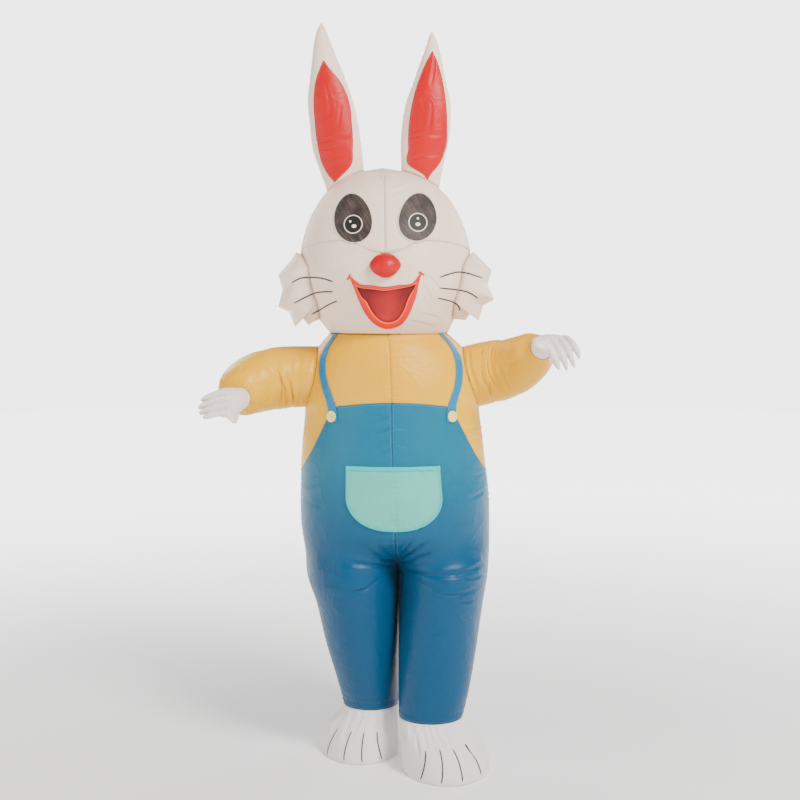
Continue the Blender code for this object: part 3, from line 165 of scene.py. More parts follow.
def smooth_step(value: Array) -> Array:
    """Rise from 0 to 1 with level ends: 3p2 - 2p3 of the clipped value."""
    part = np.clip(value, 0.0, 1.0)
    return part * part * (3 - 2 * part)


def bell(value: Array) -> Array:
    """Bell curve e to the minus square."""
    return np.exp(-(value**2))


def unit(arrows: Array) -> Array:
    """Arrows of length 1."""
    return arrows / (np.linalg.norm(arrows, axis=-1, keepdims=True) + 1e-15)


def grid(rows: Array, columns: Array) -> tuple[Array, Array]:
    """Two arrays that hold each row's and each column's value at all places of a grid."""
    return tuple(np.meshgrid(rows, columns, indexing="ij"))


def disc(count: int) -> tuple[Array, Array]:
    """Square grid bent onto a round disc: each side of the square is drawn in by half the other's square."""
    across, up = grid(np.linspace(-1, 1, count), np.linspace(-1, 1, count))
    return across * np.sqrt(1 - up**2 / 2), up * np.sqrt(1 - across**2 / 2)


@dataclass(frozen=True)
class Folds:
    """Folds of one face, listed as bowed lines on a flat map of it.

    Each is a narrow trough between two uneven lips. It starts sharp at (u0, v0), widens, and fades out
    towards (u1, v1): a bell across the line, less two lower bells beside it. Rows are u0, v0, u1, v1, bow,
    width and depth, in millimetres.
    """

    rows: Sequence[Sequence[float]]
    around: float = 0.0

    def depth(self, u: Array, v: Array) -> Array:
        """Depth of all folds at places of the map.

        Args:
            u: First coordinate of the map, in metres.
            v: Second coordinate of the map, in metres.

        Returns:
            Depth below the smooth surface, less than 0 on a lip.
        """
        total = np.zeros(np.broadcast(u, v).shape)
        for u0, v0, u1, v1, bow, width, depth in np.array(self.rows) / 1000:
            run, rise = u1 - u0, v1 - v0
            length = np.hypot(run, rise)
            away = u - u0
            if self.around:
                away = np.mod(away + self.around / 2, self.around) - self.around / 2
            share = (away * run + (v - v0) * rise) / length**2
            held = np.clip(share, 0, 1)
            beside = ((v - v0) * run - away * rise) / length - bow * 4 * held * (1 - held)
            wide = width * (0.42 + 0.55 * held)
            apart = beside / wide
            past = (share - held) * length / width
            lips = 0.55 * bell((apart - 1.6) / 1.1) + 0.35 * bell((apart + 1.7) / 1.2)
            fade = smooth_step(held * 5 + 0.3) * smooth_step((1 - held) * 2.4 + 0.1) * bell(past)
            total += depth * fade * (bell(apart) - lips)
        return total


def seam_depth(apart: Array, along: Array, seed: float, reach: float = 0.030, pucker: float = 0.0008) -> Array:
    """Groove of a sewn seam, with short puckers square to it.

    The puckers are three waves of unequal length along the seam, which swell and die along it and fade
    with the distance from it. The groove is a bell 5 mm wide.

    Args:
        apart: Distance from the seam.
        along: Place along the seam.
        seed: Phase that sets one seam off from the next.
        reach: Length of the puckers.
        pucker: Height of the puckers.

    Returns:
        Depth below the smooth surface.
    """
    waves = np.sin(along * 371 + seed + 20 * apart) + 0.8 * np.sin(along * 233 + 2.1 * seed)
    waves = waves + 0.6 * np.sin(along * 571 + seed * 5)
    strength = 0.55 + 0.45 * np.sin(along * 47 + seed * 3) * np.sin(along * 19 + seed)
    fade = np.exp(-((np.abs(apart) / reach) ** 1.3))
    return GROOVE_DEPTH * bell(apart / GROOVE_WIDTH) + pucker * waves * strength * fade


# The filled suit
TRUNK = in_mm("height middle half_width front back", (
    (560, -5, 290, 225, 215), (650, -8, 302, 240, 228), (750, -14, 311, 250, 238), (852, -17, 313, 252, 240),
    (958, -21, 305, 250, 235), (1052, -24, 297, 243, 228), (1154, -26, 286, 235, 220), (1244, -27, 283, 225, 210),
    (1303, -30, 267, 212, 200), (1359, -32, 236, 193, 186), (1404, -37, 192, 170, 162),
))
HEAD = in_mm("height middle half_width front back", (
    (1404, -37, 192, 170, 162), (1447, -43, 219, 215, 192), (1512, -46, 252, 252, 226), (1594, -46, 277, 270, 246),
    (1685, -47, 272, 248, 250), (1742, -48, 258, 228, 243), (1817, -48, 222, 192, 214), (1862, -49, 187, 160, 182),
    (1901, -50, 133, 114, 132), (1926, -54, 70, 62, 72), (1939, -58, 1, 1, 1),
))
LEG = in_mm("height outer_left outer_right front_back", (
    (150, 199, 188, 94), (173, 205, 191, 98), (242, 223, 208, 121), (379, 250, 247, 157), (515, 272, 278, 196),
    (623, 292, 310, 226), (700, 296, 314, 236), (780, 297, 314, 240),
))
STEP_FORWARD = in_mm("height left right", (
    (0, -150, 10), (170, -130, 6), (379, -75, 0), (600, -12, 0), (780, 0, 0),
))
BIB_EDGE = Table("angle height", (
    (0, 0.957), (12, 0.966), (24, 1.002), (34, 1.055), (42, 1.118), (47, 1.16), (51, 1.174), (60, 1.182), (75, 1.19),
    (90, 1.194),
))
MUZZLE_EDGE = Table("angle height", (
    (0, 1.662), (25, 1.68), (50, 1.694), (68, 1.69), (80, 1.664), (90, 1.654), (100, 1.664), (112, 1.69),
    (130, 1.694), (155, 1.68), (180, 1.662),
))

FRONT_FOLDS = Folds((
    (-12, 668, -114, 740, 4, 9, 4.5), (-12, 655, -201, 690, -4, 11, 5), (-185, 651, -244, 672, 3, 9, 3.6),
    (-54, 628, -228, 567, 10, 11, 4.6), (-90, 604, -215, 590, 4, 8, 3), (-9, 650, -108, 612, 4, 9, 4.5),
    (0, 684, 98, 760, 6, 9, 5.2), (0, 700, 46, 768, 2, 8, 4.8), (-6, 706, 22, 775, 2, 6, 3.4),
    (2, 668, 114, 715, 4, 10, 5), (2, 652, 271, 660, -8, 11, 5.2), (170, 640, 272, 664, 4, 8, 3.6),
    (12, 635, 146, 603, -4, 10, 4.2), (130, 588, 262, 597, -6, 9, 4.4), (51, 554, 140, 538, -4, 9, 3.6),
    (125, 530, 198, 528, 2, 7, 2.6), (30, 478, 90, 415, -4, 8, 3.2), (51, 456, 151, 419, -6, 8, 3.6),
    (104, 438, 245, 456, -8, 10, 4.4), (40, 604, 120, 566, -4, 9, 3), (-28, 1150, -92, 1138, 2, 7, 2.6),
    (-24, 1118, -100, 1104, 4, 8, 3.4), (-22, 1086, -82, 1068, 3, 7, 3), (-22, 1060, -70, 1034, 3, 7, 2.8),
    (-22, 1128, 24, 1112, -2, 6, 2), (-18, 1070, 34, 1058, -2, 7, 2), (40, 990, 78, 958, 2, 6, 2.2),
    (66, 992, 110, 962, 2, 6, 2.4), (92, 992, 132, 968, 2, 6, 2.2), (-10, 790, -30, 856, 4, 6, 3.2),
    (-8, 790, -12, 868, 2, 6, 3.4), (-6, 790, 18, 850, 3, 6, 3.2), (50, 782, 84, 830, 3, 7, 3),
    (-40, 790, -62, 826, 3, 6, 2.2), (290, 905, 210, 880, 3, 8, 1.8), (285, 960, 240, 950, 2, 7, 1.4),
    (262, 1110, 196, 1096, 3, 8, 2.2), (262, 1070, 204, 1064, 2, 7, 1.8), (80, 1396, 58, 1340, 2, 6, 1.3),
    (100, 1392, 84, 1350, 2, 5, 1.1), (-120, 1396, -96, 1350, 2, 6, 1), (-290, 860, -235, 850, 2, 8, 1.4),
    (-10, 690, -70, 752, 3, 7, 4), (-12, 676, -92, 700, 2, 7, 3.6), (4, 694, 74, 742, 3, 7, 4.2),
    (10, 640, 90, 632, -3, 7, 3.6), (-236, 610, -160, 596, 3, 8, 3.6), (268, 628, 200, 640, 3, 7, 3.6),
    (240, 556, 170, 566, 3, 7, 3), (-150, 262, -60, 246, 4, 9, 1.6), (170, 300, 80, 280, 4, 10, 1.6),
))
BACK_FOLDS = Folds((
    (-14, 650, -220, 670, 6, 11, 5), (-12, 672, -120, 736, 4, 10, 4.5), (0, 650, 210, 680, 6, 11, 5),
    (2, 676, 104, 742, 4, 9, 4.2), (-40, 610, -190, 575, 6, 10, 4), (40, 606, 216, 584, 6, 10, 4.2),
    (-50, 440, -230, 410, -8, 11, 4.6), (50, 400, 230, 430, -8, 11, 4.6), (60, 455, 170, 440, -4, 9, 3.2),
    (-80, 480, -200, 470, -4, 9, 3), (-30, 830, -200, 850, 6, 10, 3.6), (10, 770, 90, 800, 4, 9, 3),
    (-50, 1040, -180, 1020, 6, 10, 2.6), (20, 1080, 140, 1060, 4, 10, 2.6), (-60, 1300, -170, 1330, 4, 9, 2),
    (10, 1290, 120, 1320, 4, 9, 2), (-260, 1090, -200, 1080, 2, 8, 2), (250, 1080, 190, 1070, 2, 8, 2),
))
FACE_FOLDS = Folds((
    (-104, 1650, -160, 1672, 2, 5, 2.7), (-92, 1664, -132, 1704, 2, 5, 3), (-70, 1672, -88, 1712, 1, 4, 2.7),
    (-44, 1672, -46, 1708, 1, 4, 2.7), (-20, 1668, -6, 1704, 1, 4, 2.7), (4, 1656, 44, 1684, 1, 5, 2.7),
    (-100, 1610, -140, 1602, 1, 5, 2.1), (10, 1612, 48, 1606, 1, 5, 2.1), (82, 1590, 128, 1530, 5, 7, 4),
    (70, 1560, 100, 1500, 4, 6, 3.8), (100, 1610, 160, 1570, 4, 7, 3.8), (30, 1448, 110, 1424, 3, 6, 3.8),
    (60, 1470, 130, 1450, 3, 6, 3), (-150, 1560, -190, 1510, 4, 7, 3.4), (-130, 1480, -176, 1440, 4, 7, 3.4),
    (-70, 1930, -62, 1880, 1, 6, 4), (-40, 1926, -50, 1890, 1, 5, 3.8), (-30, 1840, 30, 1860, 2, 8, 3),
    (-70, 1800, -130, 1860, 2, 9, 2.7),
))


def oval(table: Table, angle: Array, height: Array) -> Array:
    """Point of a level oval: half width times the cosine across, front or back depth times the sine forward."""
    depth = np.where(np.sin(angle) > 0, table.at("front", height), table.at("back", height))
    across = table.at("middle", height) + table.at("half_width", height) * np.cos(angle)
    return np.stack([across, -depth * np.sin(angle), height + 0 * angle], axis=-1)


def trunk(angle: Array, height: Array) -> Array:
    """Trunk's surface."""
    return oval(TRUNK, angle, height)


def head(angle: Array, height: Array) -> Array:
    """Head's surface."""
    return oval(HEAD, angle, height)


def dungaree(side: int, face: int, share: Array, height: Array) -> Array:
    """Leg oval below and half of the trunk above, joined by a smooth step over the fork.

    Args:
        side: Sign of the side.
        face: Sign of the face.
        share: 0 at the side seam, 1 at the centre seam.
        height: Height above the floor.

    Returns:
        Points of the smooth surface.
    """
    name = "left" if side > 0 else "right"
    middle = TRUNK.at("middle", height)
    upper = trunk(face * share * QUARTER, height)
    upper[..., 0] = middle + side * (upper[..., 0] - middle)
    inner = middle - side * 0.0002
    outer = side * LEG.at("outer_" + name, height)
    turn = np.pi * share
    forward = STEP_FORWARD.at(name, height) - face * LEG.at("front_back", height) * np.sin(turn)
    lower = np.stack([(inner + outer) / 2 + (outer - inner) / 2 * np.cos(turn), forward, height + 0 * share], axis=-1)
    part = smooth_step((height - FORK_LOW) / (FORK_HIGH - FORK_LOW))[..., None]
    return lower * (1 - part) + upper * part


def body_relief(points: Array, face: int) -> Array:
    """Depth of folds, seams and slack at points of the trunk and legs.

    The folds fade towards the side seams. The slack is three long low waves. The legs keep clear of
    each other, because all of it dies out near the inner seam below the fork.

    Args:
        points: Points of the smooth surface.
        face: Sign of the face that they belong to.

    Returns:
        Depth below the smooth surface.
    """
    x, y, z = np.moveaxis(points, -1, 0)
    middle = TRUNK.at("middle", z)
    across = np.abs(x - middle)
    forward = np.where(x > middle, STEP_FORWARD.at("left", z), STEP_FORWARD.at("right", z))
    facing = smooth_step((1 - across / TRUNK.at("half_width", z)) * 7)
    folds = (FRONT_FOLDS if face > 0 else BACK_FOLDS).depth(x, z) * facing
    centre = seam_depth(across, z, 1.7 + face, 0.045 if face > 0 else 0.030, 0.0011)
    sides = seam_depth(np.abs(y - forward), z, 0.4) * smooth_step((across - 0.15) / 0.05)
    slack = 0.0010 * np.sin(11 * x + 5 * z + face) * np.sin(9 * z + 1) + 0.0006 * np.sin(31 * z - 17 * x)
    clear = smooth_step((across - 0.003) / 0.022 + 6 * (z - 0.66) / 0.10)
    ring = np.hypot(y / ARM_HALF_DEPTH, (z - ARM_HEIGHT) / ARM_HALF_HEIGHT)
    open_ring = np.where(across > 0.15, smooth_step(np.abs(ring - 1) * 5), 1.0)
    return ((folds + slack + centre * smooth_step((z - 0.62) / 0.08)) * clear + sides) * open_ring


def head_relief(points: Array, seam: bool = True) -> Array:
    """Depth of seams, puckers and slack at points of the head.

    Args:
        points: Points of the smooth surface.
        seam: Whether the centre seam above the muzzle is cut in.

    Returns:
        Depth below the smooth surface.
    """
    x, y, z = np.moveaxis(points, -1, 0)
    middle = HEAD.at("middle", z)
    angle = np.arctan2(-y / HEAD.at("front", z), (x - middle) / HEAD.at("half_width", z))
    front = y < 0
    edge = MUZZLE_EDGE.at("height", np.degrees(np.clip(angle, 0, np.pi)))
    above = smooth_step((z - edge) / 0.01)
    crown = smooth_step((CROWN_HEIGHT - 0.004 - z) / 0.03)
    upright = seam_depth(np.abs(x - middle), z, 2.2, 0.025) * np.where(front, above, 1.0) * crown * float(seam)
    sides = seam_depth(np.abs(y), z, 0.9, 0.022) * np.where(front, above, 1.0) * crown
    cheeks = np.where(front, seam_depth(z - edge, 0.27 * angle, 3.1, 0.022, 0.0007), 0.0)
    slack = 0.0009 * np.sin(13 * x + 7 * z) * np.sin(10 * z - 3 * x) + 0.0004 * np.sin(37 * z + 23 * x)
    folds = np.where(front, FACE_FOLDS.depth(x, z), 0.0)
    neck = seam_depth(z - NECK_HEIGHT, 0.2 * angle, 5.3, 0.020, 0.0008)
    return upright + sides + cheeks * smooth_step(np.abs(y) / 0.03) + (slack + folds) * crown + neck


def lifted(
    base: Surface, a: Array, b: Array, relief: Callable[[Array], Array], out: Array | float, sign: int = 0
) -> Array:
    """Points of a surface, moved along its normals by a lift less the relief.

    The normal is the cross product of two small steps on the surface, turned outwards.

    Args:
        base: Surface of two parameters.
        a: First parameter.
        b: Second parameter.
        relief: Depth below the surface at its points.
        out: Lift along the normal.
        sign: Sign that turns the cross product outwards, or 0 to point it away from each row's mean.

    Returns:
        The moved points.
    """
    step = 1e-4
    normal = unit(np.cross(base(a + step, b) - base(a - step, b), base(a, b + step) - base(a, b - step)))
    points = base(a, b)
    if not sign:
        sign = 1 if np.sum(normal * (points - points.mean(axis=1, keepdims=True))) > 0 else -1
    return points + normal * sign * np.asarray(out - relief(points))[..., None]


def trunk_skin(angle: Array, height: Array, face: int, out: Array | float = 0.0) -> Array:
    """Points of the trunk with its folds, lifted by out."""
    return lifted(trunk, angle, height, lambda points: body_relief(points, face), out, -1)


def head_skin(angle: Array, height: Array, out: Array | float = 0.0) -> Array:
    """Points of the head with its seams and puckers, lifted by out."""
    return lifted(head, angle, height, head_relief, out, -1)


def face_skin(x: Array, z: Array, out: Array | float = 0.0) -> Array:
    """Points of the face over places seen from the front, lifted by out."""
    reach = (x - HEAD.at("middle", z)) / HEAD.at("half_width", z)
    return head_skin(np.arccos(np.clip(reach, -0.999, 0.999)), z, out)


# Finishes
def screen(red: int, green: int, blue: int) -> Colour:
    """Linear colour of three screen values from 0 to 255."""
    part = np.array([red, green, blue]) / 255
    linear = np.where(part <= 0.04045, part / 12.92, ((part + 0.055) / 1.055) ** 2.4)
    return (*linear.tolist(), 1.0)


class Sock:
    """An output socket whose operators add Math nodes."""

    def __init__(self, kit: "Kit", socket: bpy.types.NodeSocket) -> None:
        """Keeps the socket and the material that it belongs to."""
        self.kit = kit
        self.socket = socket

    def maths(self, operation: str, *values: "Sock | float") -> "Sock":
        """Result of one Math node.

        Args:
            operation: Name of the node's operation.
            values: Its inputs in order.

        Returns:
            The node's output.
        """
        return self.kit.node("ShaderNodeMath", {"operation": operation}, dict(enumerate(values)))

    def __add__(self, other: "Sock | float") -> "Sock":
        """Sum."""
        return self.maths("ADD", self, other)

    def __sub__(self, other: "Sock | float") -> "Sock":
        """Difference."""
        return self.maths("SUBTRACT", self, other)

    def __rsub__(self, other: float) -> "Sock":
        """Difference from a number."""
        return self.maths("SUBTRACT", other, self)

    def __mul__(self, other: "Sock | float") -> "Sock":
        """Product."""
        return self.maths("MULTIPLY", self, other)

    def __truediv__(self, other: "Sock | float") -> "Sock":
        """Quotient."""
        return self.maths("DIVIDE", self, other)

    def __pow__(self, other: float) -> "Sock":
        """Power."""
        return self.maths("POWER", self, other)

    __radd__ = __add__
    __rmul__ = __mul__

    def sine(self) -> "Sock":
        """Sine."""
        return self.maths("SINE", self)

    def size(self) -> "Sock":
        """Value without its sign."""
        return self.maths("ABSOLUTE", self)

    def fraction(self) -> "Sock":
        """Part after the decimal point."""
        return self.maths("FRACT", self)

    def under(self, other: "Sock | float") -> "Sock":
        """1 where the value is less than the other, 0 elsewhere."""
        return self.maths("LESS_THAN", self, other)

    def most(self, other: "Sock | float") -> "Sock":
        """Higher of two values."""
        return self.maths("MAXIMUM", self, other)

    def ramp(self, low: float, high: float) -> "Sock":
        """Smooth rise from 0 at low to 1 at high."""
        return self.kit.node(
            "ShaderNodeMapRange", {"interpolation_type": "SMOOTHSTEP"}, {0: self, 1: low, 2: high, 3: 0.0, 4: 1.0}
        )


class Kit:
    """A new material and the one method that adds its nodes."""

    def __init__(self, name: str, **constants: "float | Colour") -> None:
        """Makes the material and sets what is the same all over the surface.

        Args:
            name: Name of the material.
            constants: Values of the shader's sockets, with _ for a space.
        """
        self.material = bpy.data.materials.new(name)
        self.material.use_nodes = True
        self.tree = self.material.node_tree
        self.shader = self.tree.nodes["Principled BSDF"]
        self.dress(**constants)

    def feed(self, socket: bpy.types.NodeSocket, value: "Sock | float | Colour") -> None:
        """Links a socket to another, or sets its value."""
        if isinstance(value, Sock):
            self.tree.links.new(value.socket, socket)
        else:
            socket.default_value = value

    def dress(self, **values: "Sock | float | Colour") -> None:
        """Sets or links sockets of the shader, named with _ for a space."""
        for name, value in values.items():
            self.feed(self.shader.inputs[name.replace("_", " ")], value)

    def node(self, kind: str, settings: dict, inputs: dict, output: int | str = 0) -> Sock:
        """Adds a node.

        Args:
            kind: The node's type.
            settings: Its settings, set first.
            inputs: Values or links of its sockets.
            output: The output that is returned.

        Returns:
            That output.
        """
        node = self.tree.nodes.new(kind)
        for name, value in settings.items():
            setattr(node, name, value)
        for name, value in inputs.items():
            self.feed(node.inputs[name], value)
        return Sock(self, node.outputs[output])

    def place(self) -> Sock:
        """Object coordinates."""
        return self.node("ShaderNodeTexCoord", {}, {}, "Object")

    def axes(self, vector: Sock) -> tuple[Sock, Sock, Sock]:
        """Three coordinates of a vector."""
        first = self.node("ShaderNodeSeparateXYZ", {}, {0: vector})
        others = first.socket.node.outputs
        return first, Sock(self, others[1]), Sock(self, others[2])

    def chart(self, name: str) -> tuple[Sock, Sock, Sock]:
        """Coordinates of one of the piece's own maps, in metres."""
        return self.axes(self.node("ShaderNodeUVMap", {"uv_map": name}, {}))

    def noise(self, vector: Sock, scale: float, detail: float, distortion: float = 0.0) -> Sock:
        """Even noise from 0 to 1."""
        inputs = {"Vector": vector, "Scale": scale, "Detail": detail, "Distortion": distortion}
        return self.node("ShaderNodeTexNoise", {}, inputs)

    def blend(self, factor: Sock | float, first: "Sock | Colour", second: "Sock | Colour") -> Sock:
        """Colour between two, by a factor from 0 to 1."""
        return self.node("ShaderNodeMix", {"data_type": "RGBA"}, {0: factor, 6: first, 7: second}, 2)

    def raise_surface(self, height: Sock) -> None:
        """Bumps the surface by a height in metres."""
        self.dress(Normal=self.node("ShaderNodeBump", {}, {"Height": height, "Distance": 1.0, "Strength": 1.0}))


@dataclass(frozen=True)
class Taffeta:
    """Coated polyester cloth: plain weave, fine crinkles, soft clouds of a darker tint, stitching beside its seams,
    painted shade along its seams, and a colour by height that on the blue is painted shade down the legs.
    """

    name: str
    colour: tuple[int, int, int]
    shade: tuple[int, int, int]
    roughness: float = 0.40
    crinkle: float = 1.0
    sheen: float = 0.06
    # Colour reached at low_foot, blended in from low_top down: on the blue it is painted shade on the legs; the yellow
    # is a little darker low down; the white is cooler on the feet than on the head.
    low: tuple[int, int, int] | None = None
    low_top: float = -0.30
    low_foot: float = -0.95
    thread: Colour = (0.5, 0.5, 0.5, 1.0)
    thread_share: float = 0.25
    seam_inset: float = 0.005
    pitch: float = 0.0012

    def weave(self, kit: Kit) -> Sock:
        """Height of the plain weave: two crossed sines, one for each thread."""
        across, along, _ = kit.chart("cloth")
        turns = 2 * np.pi / self.pitch
        return (across * turns).sine() * (along * turns).sine()

    def crinkles(self, kit: Kit, place: Sock) -> Sock:
        """Height of crinkles: thin ridges where a noise crosses its middle, at three sizes."""
        total = None
        for scale, height in ((6.0, 0.0011), (15.0, 0.00045), (38.0, 0.00012)):
            ridge = 1.0 - (kit.noise(place, scale, 2.0, 0.6) - 0.5).size() * 7.0
            ridge = ridge.most(0.0) ** 2.0 * (height * self.crinkle)
            total = ridge if total is None else total + ridge
        return total

    def stitches(self, kit: Kit) -> Sock:
        """Mask of the stitches: dashes 3 mm long beside each seam."""
        apart, along, _ = kit.chart("seam")
        row = ((apart - self.seam_inset).size()).under(0.0005)
        return row * ((along / 0.0042).fraction()).under(0.72)

    def material(self) -> bpy.types.Material:
        """The finished material."""
        kit = Kit(self.name, Sheen_Weight=self.sheen, Sheen_Roughness=0.35, Specular_IOR_Level=0.24)
        place = kit.place()
        clouds = kit.noise(place, 2.6, 3.0, 0.4).ramp(0.34, 0.70)
        streaks = kit.noise(place, 24.0, 3.0, 0.2).ramp(0.40, 0.75)
        shade = screen(*self.shade)
        colour = kit.blend(clouds * 0.45 + streaks * 0.10, screen(*self.colour), shade)
        # Colour by height, blended towards the low colour below low_top: painted shade down the blue legs.
        if self.low:
            _, _, height = kit.axes(place)
            colour = kit.blend(height.ramp(self.low_foot, self.low_top), screen(*self.low), colour)
        apart, _, _ = kit.chart("seam")
        stitches = self.stitches(kit)
        # Painted shade in the seams: within 12 mm of each edge of the piece the colour darkens towards the shade
        # colour.
        colour = kit.blend((1.0 - apart.ramp(0.0, 0.012)) * 0.20, colour, shade)
        colour = kit.blend(stitches * self.thread_share, colour, self.thread)
        wear = kit.noise(place, 70.0, 4.0)
        kit.dress(Base_Color=colour, Roughness=wear * 0.14 + clouds * 0.05 + (self.roughness - 0.10))
        height = self.weave(kit) * 0.00002 + self.crinkles(kit, place) - stitches * 0.00025
        kit.raise_surface(height)
        return kit.material


@dataclass(frozen=True)
class EyePrint:
    """Printed eye: brown-grey with slanted pencil strokes, pale edge, ring, pupil and two lights."""

    name: str
    middle: tuple[float, float]
    small_light: tuple[float, float]
    large_light: tuple[float, float]
    ground: Colour = screen(62, 50, 44)
    dark: Colour = screen(36, 28, 24)
    stroke: Colour = screen(112, 98, 86)
    pale: Colour = screen(222, 208, 190)
    pupil: Colour = screen(22, 16, 14)
    cream: Colour = screen(232, 214, 178)

    def round_mask(self, kit: Kit, at: tuple[float, float], radius: float, squash: float = 1.0) -> Sock:
        """1 inside an ellipse on the face, with a soft edge of under a millimetre."""
        x, _, z = kit.axes(kit.place())
        away = ((x - at[0]) ** 2.0 + ((z - (at[1] - HOLD_HEIGHT)) / squash) ** 2.0) ** 0.5
        return 1.0 - away.ramp(radius - 0.0006, radius + 0.0006)

    def material(self) -> bpy.types.Material:
        """The finished material."""
        kit = Kit(self.name, Roughness=0.62, Sheen_Weight=0.15, Specular_IOR_Level=0.3)
        place = kit.place()
        x, _, z = kit.axes(place)
        slant = kit.node("ShaderNodeCombineXYZ", {}, {0: (x + z * 0.7) * 160.0, 1: (z - x * 0.7) * 16.0, 2: 0.0})
        strokes = kit.noise(slant, 1.0, 2.0, 0.3).ramp(0.50, 0.66)
        patches = kit.noise(place, 22.0, 2.0).ramp(0.3, 0.7)
        colour = kit.blend(patches, self.ground, self.dark)
        colour = kit.blend(strokes * 0.30, colour, self.stroke)
        ring = self.round_mask(kit, self.middle, 0.0295) - self.round_mask(kit, self.middle, 0.0265)
        colour = kit.blend(self.round_mask(kit, self.middle, 0.0255), colour, self.pupil)
        colour = kit.blend(ring, colour, self.pale)
        colour = kit.blend(self.round_mask(kit, self.large_light, 0.0075, 0.75), colour, self.cream)
        colour = kit.blend(self.round_mask(kit, self.small_light, 0.0036), colour, self.cream)
        across, up, _ = kit.chart("disc")
        edge = ((across ** 2.0 + up ** 2.0) ** 0.5).ramp(0.945, 0.972)
        colour = kit.blend(edge, colour, self.pale)
        kit.dress(Base_Color=colour, Roughness=strokes * 0.08 + 0.55)
        first, second, _ = kit.chart("cloth")
        weave = (first * 5200.0).sine() * (second * 5200.0).sine()
        kit.raise_surface(weave * 0.00002 + kit.noise(place, 30.0, 2.0) * 0.0006)
        return kit.material


@dataclass(frozen=True)
class SheerMesh:
    """Sheer net of the mouth: dark red threads with holes, brighter down the middle; the holes are painted dark as the
    shade of the hollow head behind the net.
    """

    name: str
    middle: float
    dark: Colour = screen(108, 6, 12)
    bright: Colour = screen(208, 26, 28)
    # Colour of the holes: painted shade of the hollow head seen through the net.
    hole: Colour = screen(60, 4, 8)

    def material(self) -> bpy.types.Material:
        """The finished material."""
        kit = Kit(self.name, Sheen_Weight=0.2, Specular_IOR_Level=0.25)
        x, _, z = kit.axes(kit.place())
        near = 1.0 - (x - self.middle).size().ramp(0.004, 0.060)
        low = 1.0 - z.ramp(0.060, 0.175)
        first, second, _ = kit.chart("cloth")
        holes = ((first * 2400.0).sine() * (second * 2400.0).sine()).ramp(0.15, 0.55)
        clouds = kit.noise(kit.place(), 14.0, 3.0).ramp(0.3, 0.7)
        colour = kit.blend((near * 0.55 + low * 0.55) * (clouds * 0.4 + 0.6), self.dark, self.bright)
        # The holes are painted dark: painted shade of the hollow inside behind the net.
        colour = kit.blend(holes * 0.6, colour, self.hole)
        kit.dress(Base_Color=colour, Roughness=holes * 0.2 + 0.6)
        kit.raise_surface(holes * -0.00025 + clouds * 0.0008)
        return kit.material


@dataclass(frozen=True)
class Moulded:
    """Moulded plastic or plated metal with a fine grain and worn patches."""

    name: str
    colour: Colour
    worn: Colour
    roughness: float
    metallic: float = 0.0
    grain: float = 0.00004

    def material(self) -> bpy.types.Material:
        """The finished material."""
        kit = Kit(self.name, Metallic=self.metallic, Specular_IOR_Level=0.5)
        place = kit.place()
        patches = kit.noise(place, 60.0, 4.0).ramp(0.45, 0.75)
        fine = kit.noise(place, 900.0, 2.0)
        kit.dress(
            Base_Color=kit.blend(patches * 0.6, self.colour, self.worn),
            Roughness=fine * 0.12 + patches * 0.08 + (self.roughness - 0.08),
        )
        kit.raise_surface(fine * self.grain)
        return kit.material


@dataclass(frozen=True)
class PrintedLine:
    """Dark cord line of a whisker or toe: twisted, slightly glossy."""

    name: str
    colour: Colour = screen(58, 48, 46)
    worn: Colour = screen(96, 84, 80)

    def material(self) -> bpy.types.Material:
        """The finished material."""
        kit = Kit(self.name, Specular_IOR_Level=0.35, Sheen_Weight=0.1)
        across, along, _ = kit.chart("cloth")
        twist = (along * 2600.0 + across * 2600.0).sine()
        patches = kit.noise(kit.place(), 120.0, 3.0).ramp(0.4, 0.7)
        kit.dress(Base_Color=kit.blend(patches * 0.5, self.colour, self.worn), Roughness=patches * 0.1 + 0.5)
        kit.raise_surface(twist * 0.00008)
        return kit.material


class Finish(Enum):
    """Finishes of the costume, each with the record's slot that it belongs to."""

    WHITE = "white_polyester"
    RED = "red_polyester"
    TRIM = "orange_trim"
    TRIM_LIGHT = "orange_piping"
    NET = "dark_red_mesh"
    EYE_LEFT = "eye_print_left"
    EYE_RIGHT = "eye_print_right"
    YELLOW = "yellow_nylon"
    BLUE = "blue_nylon"
    STRAP = "strap_nylon"
    TEAL = "teal_nylon"
    BINDING = "teal_binding"
    BUTTON = "cream_button"
    SATIN = "glove_satin"
    BLACK = "black_plastic"
    TAPE = "zip_tape"
    METAL = "zip_metal"
    LINE = "dark_line"

    @property
    def slot(self) -> str:
        """The record's material slot."""
        others = {
            "orange_piping": "orange_trim",
            "eye_print_left": "eye_print",
            "eye_print_right": "eye_print",
            "dark_line": "black_plastic",
        }
        return others.get(self.value, self.value)


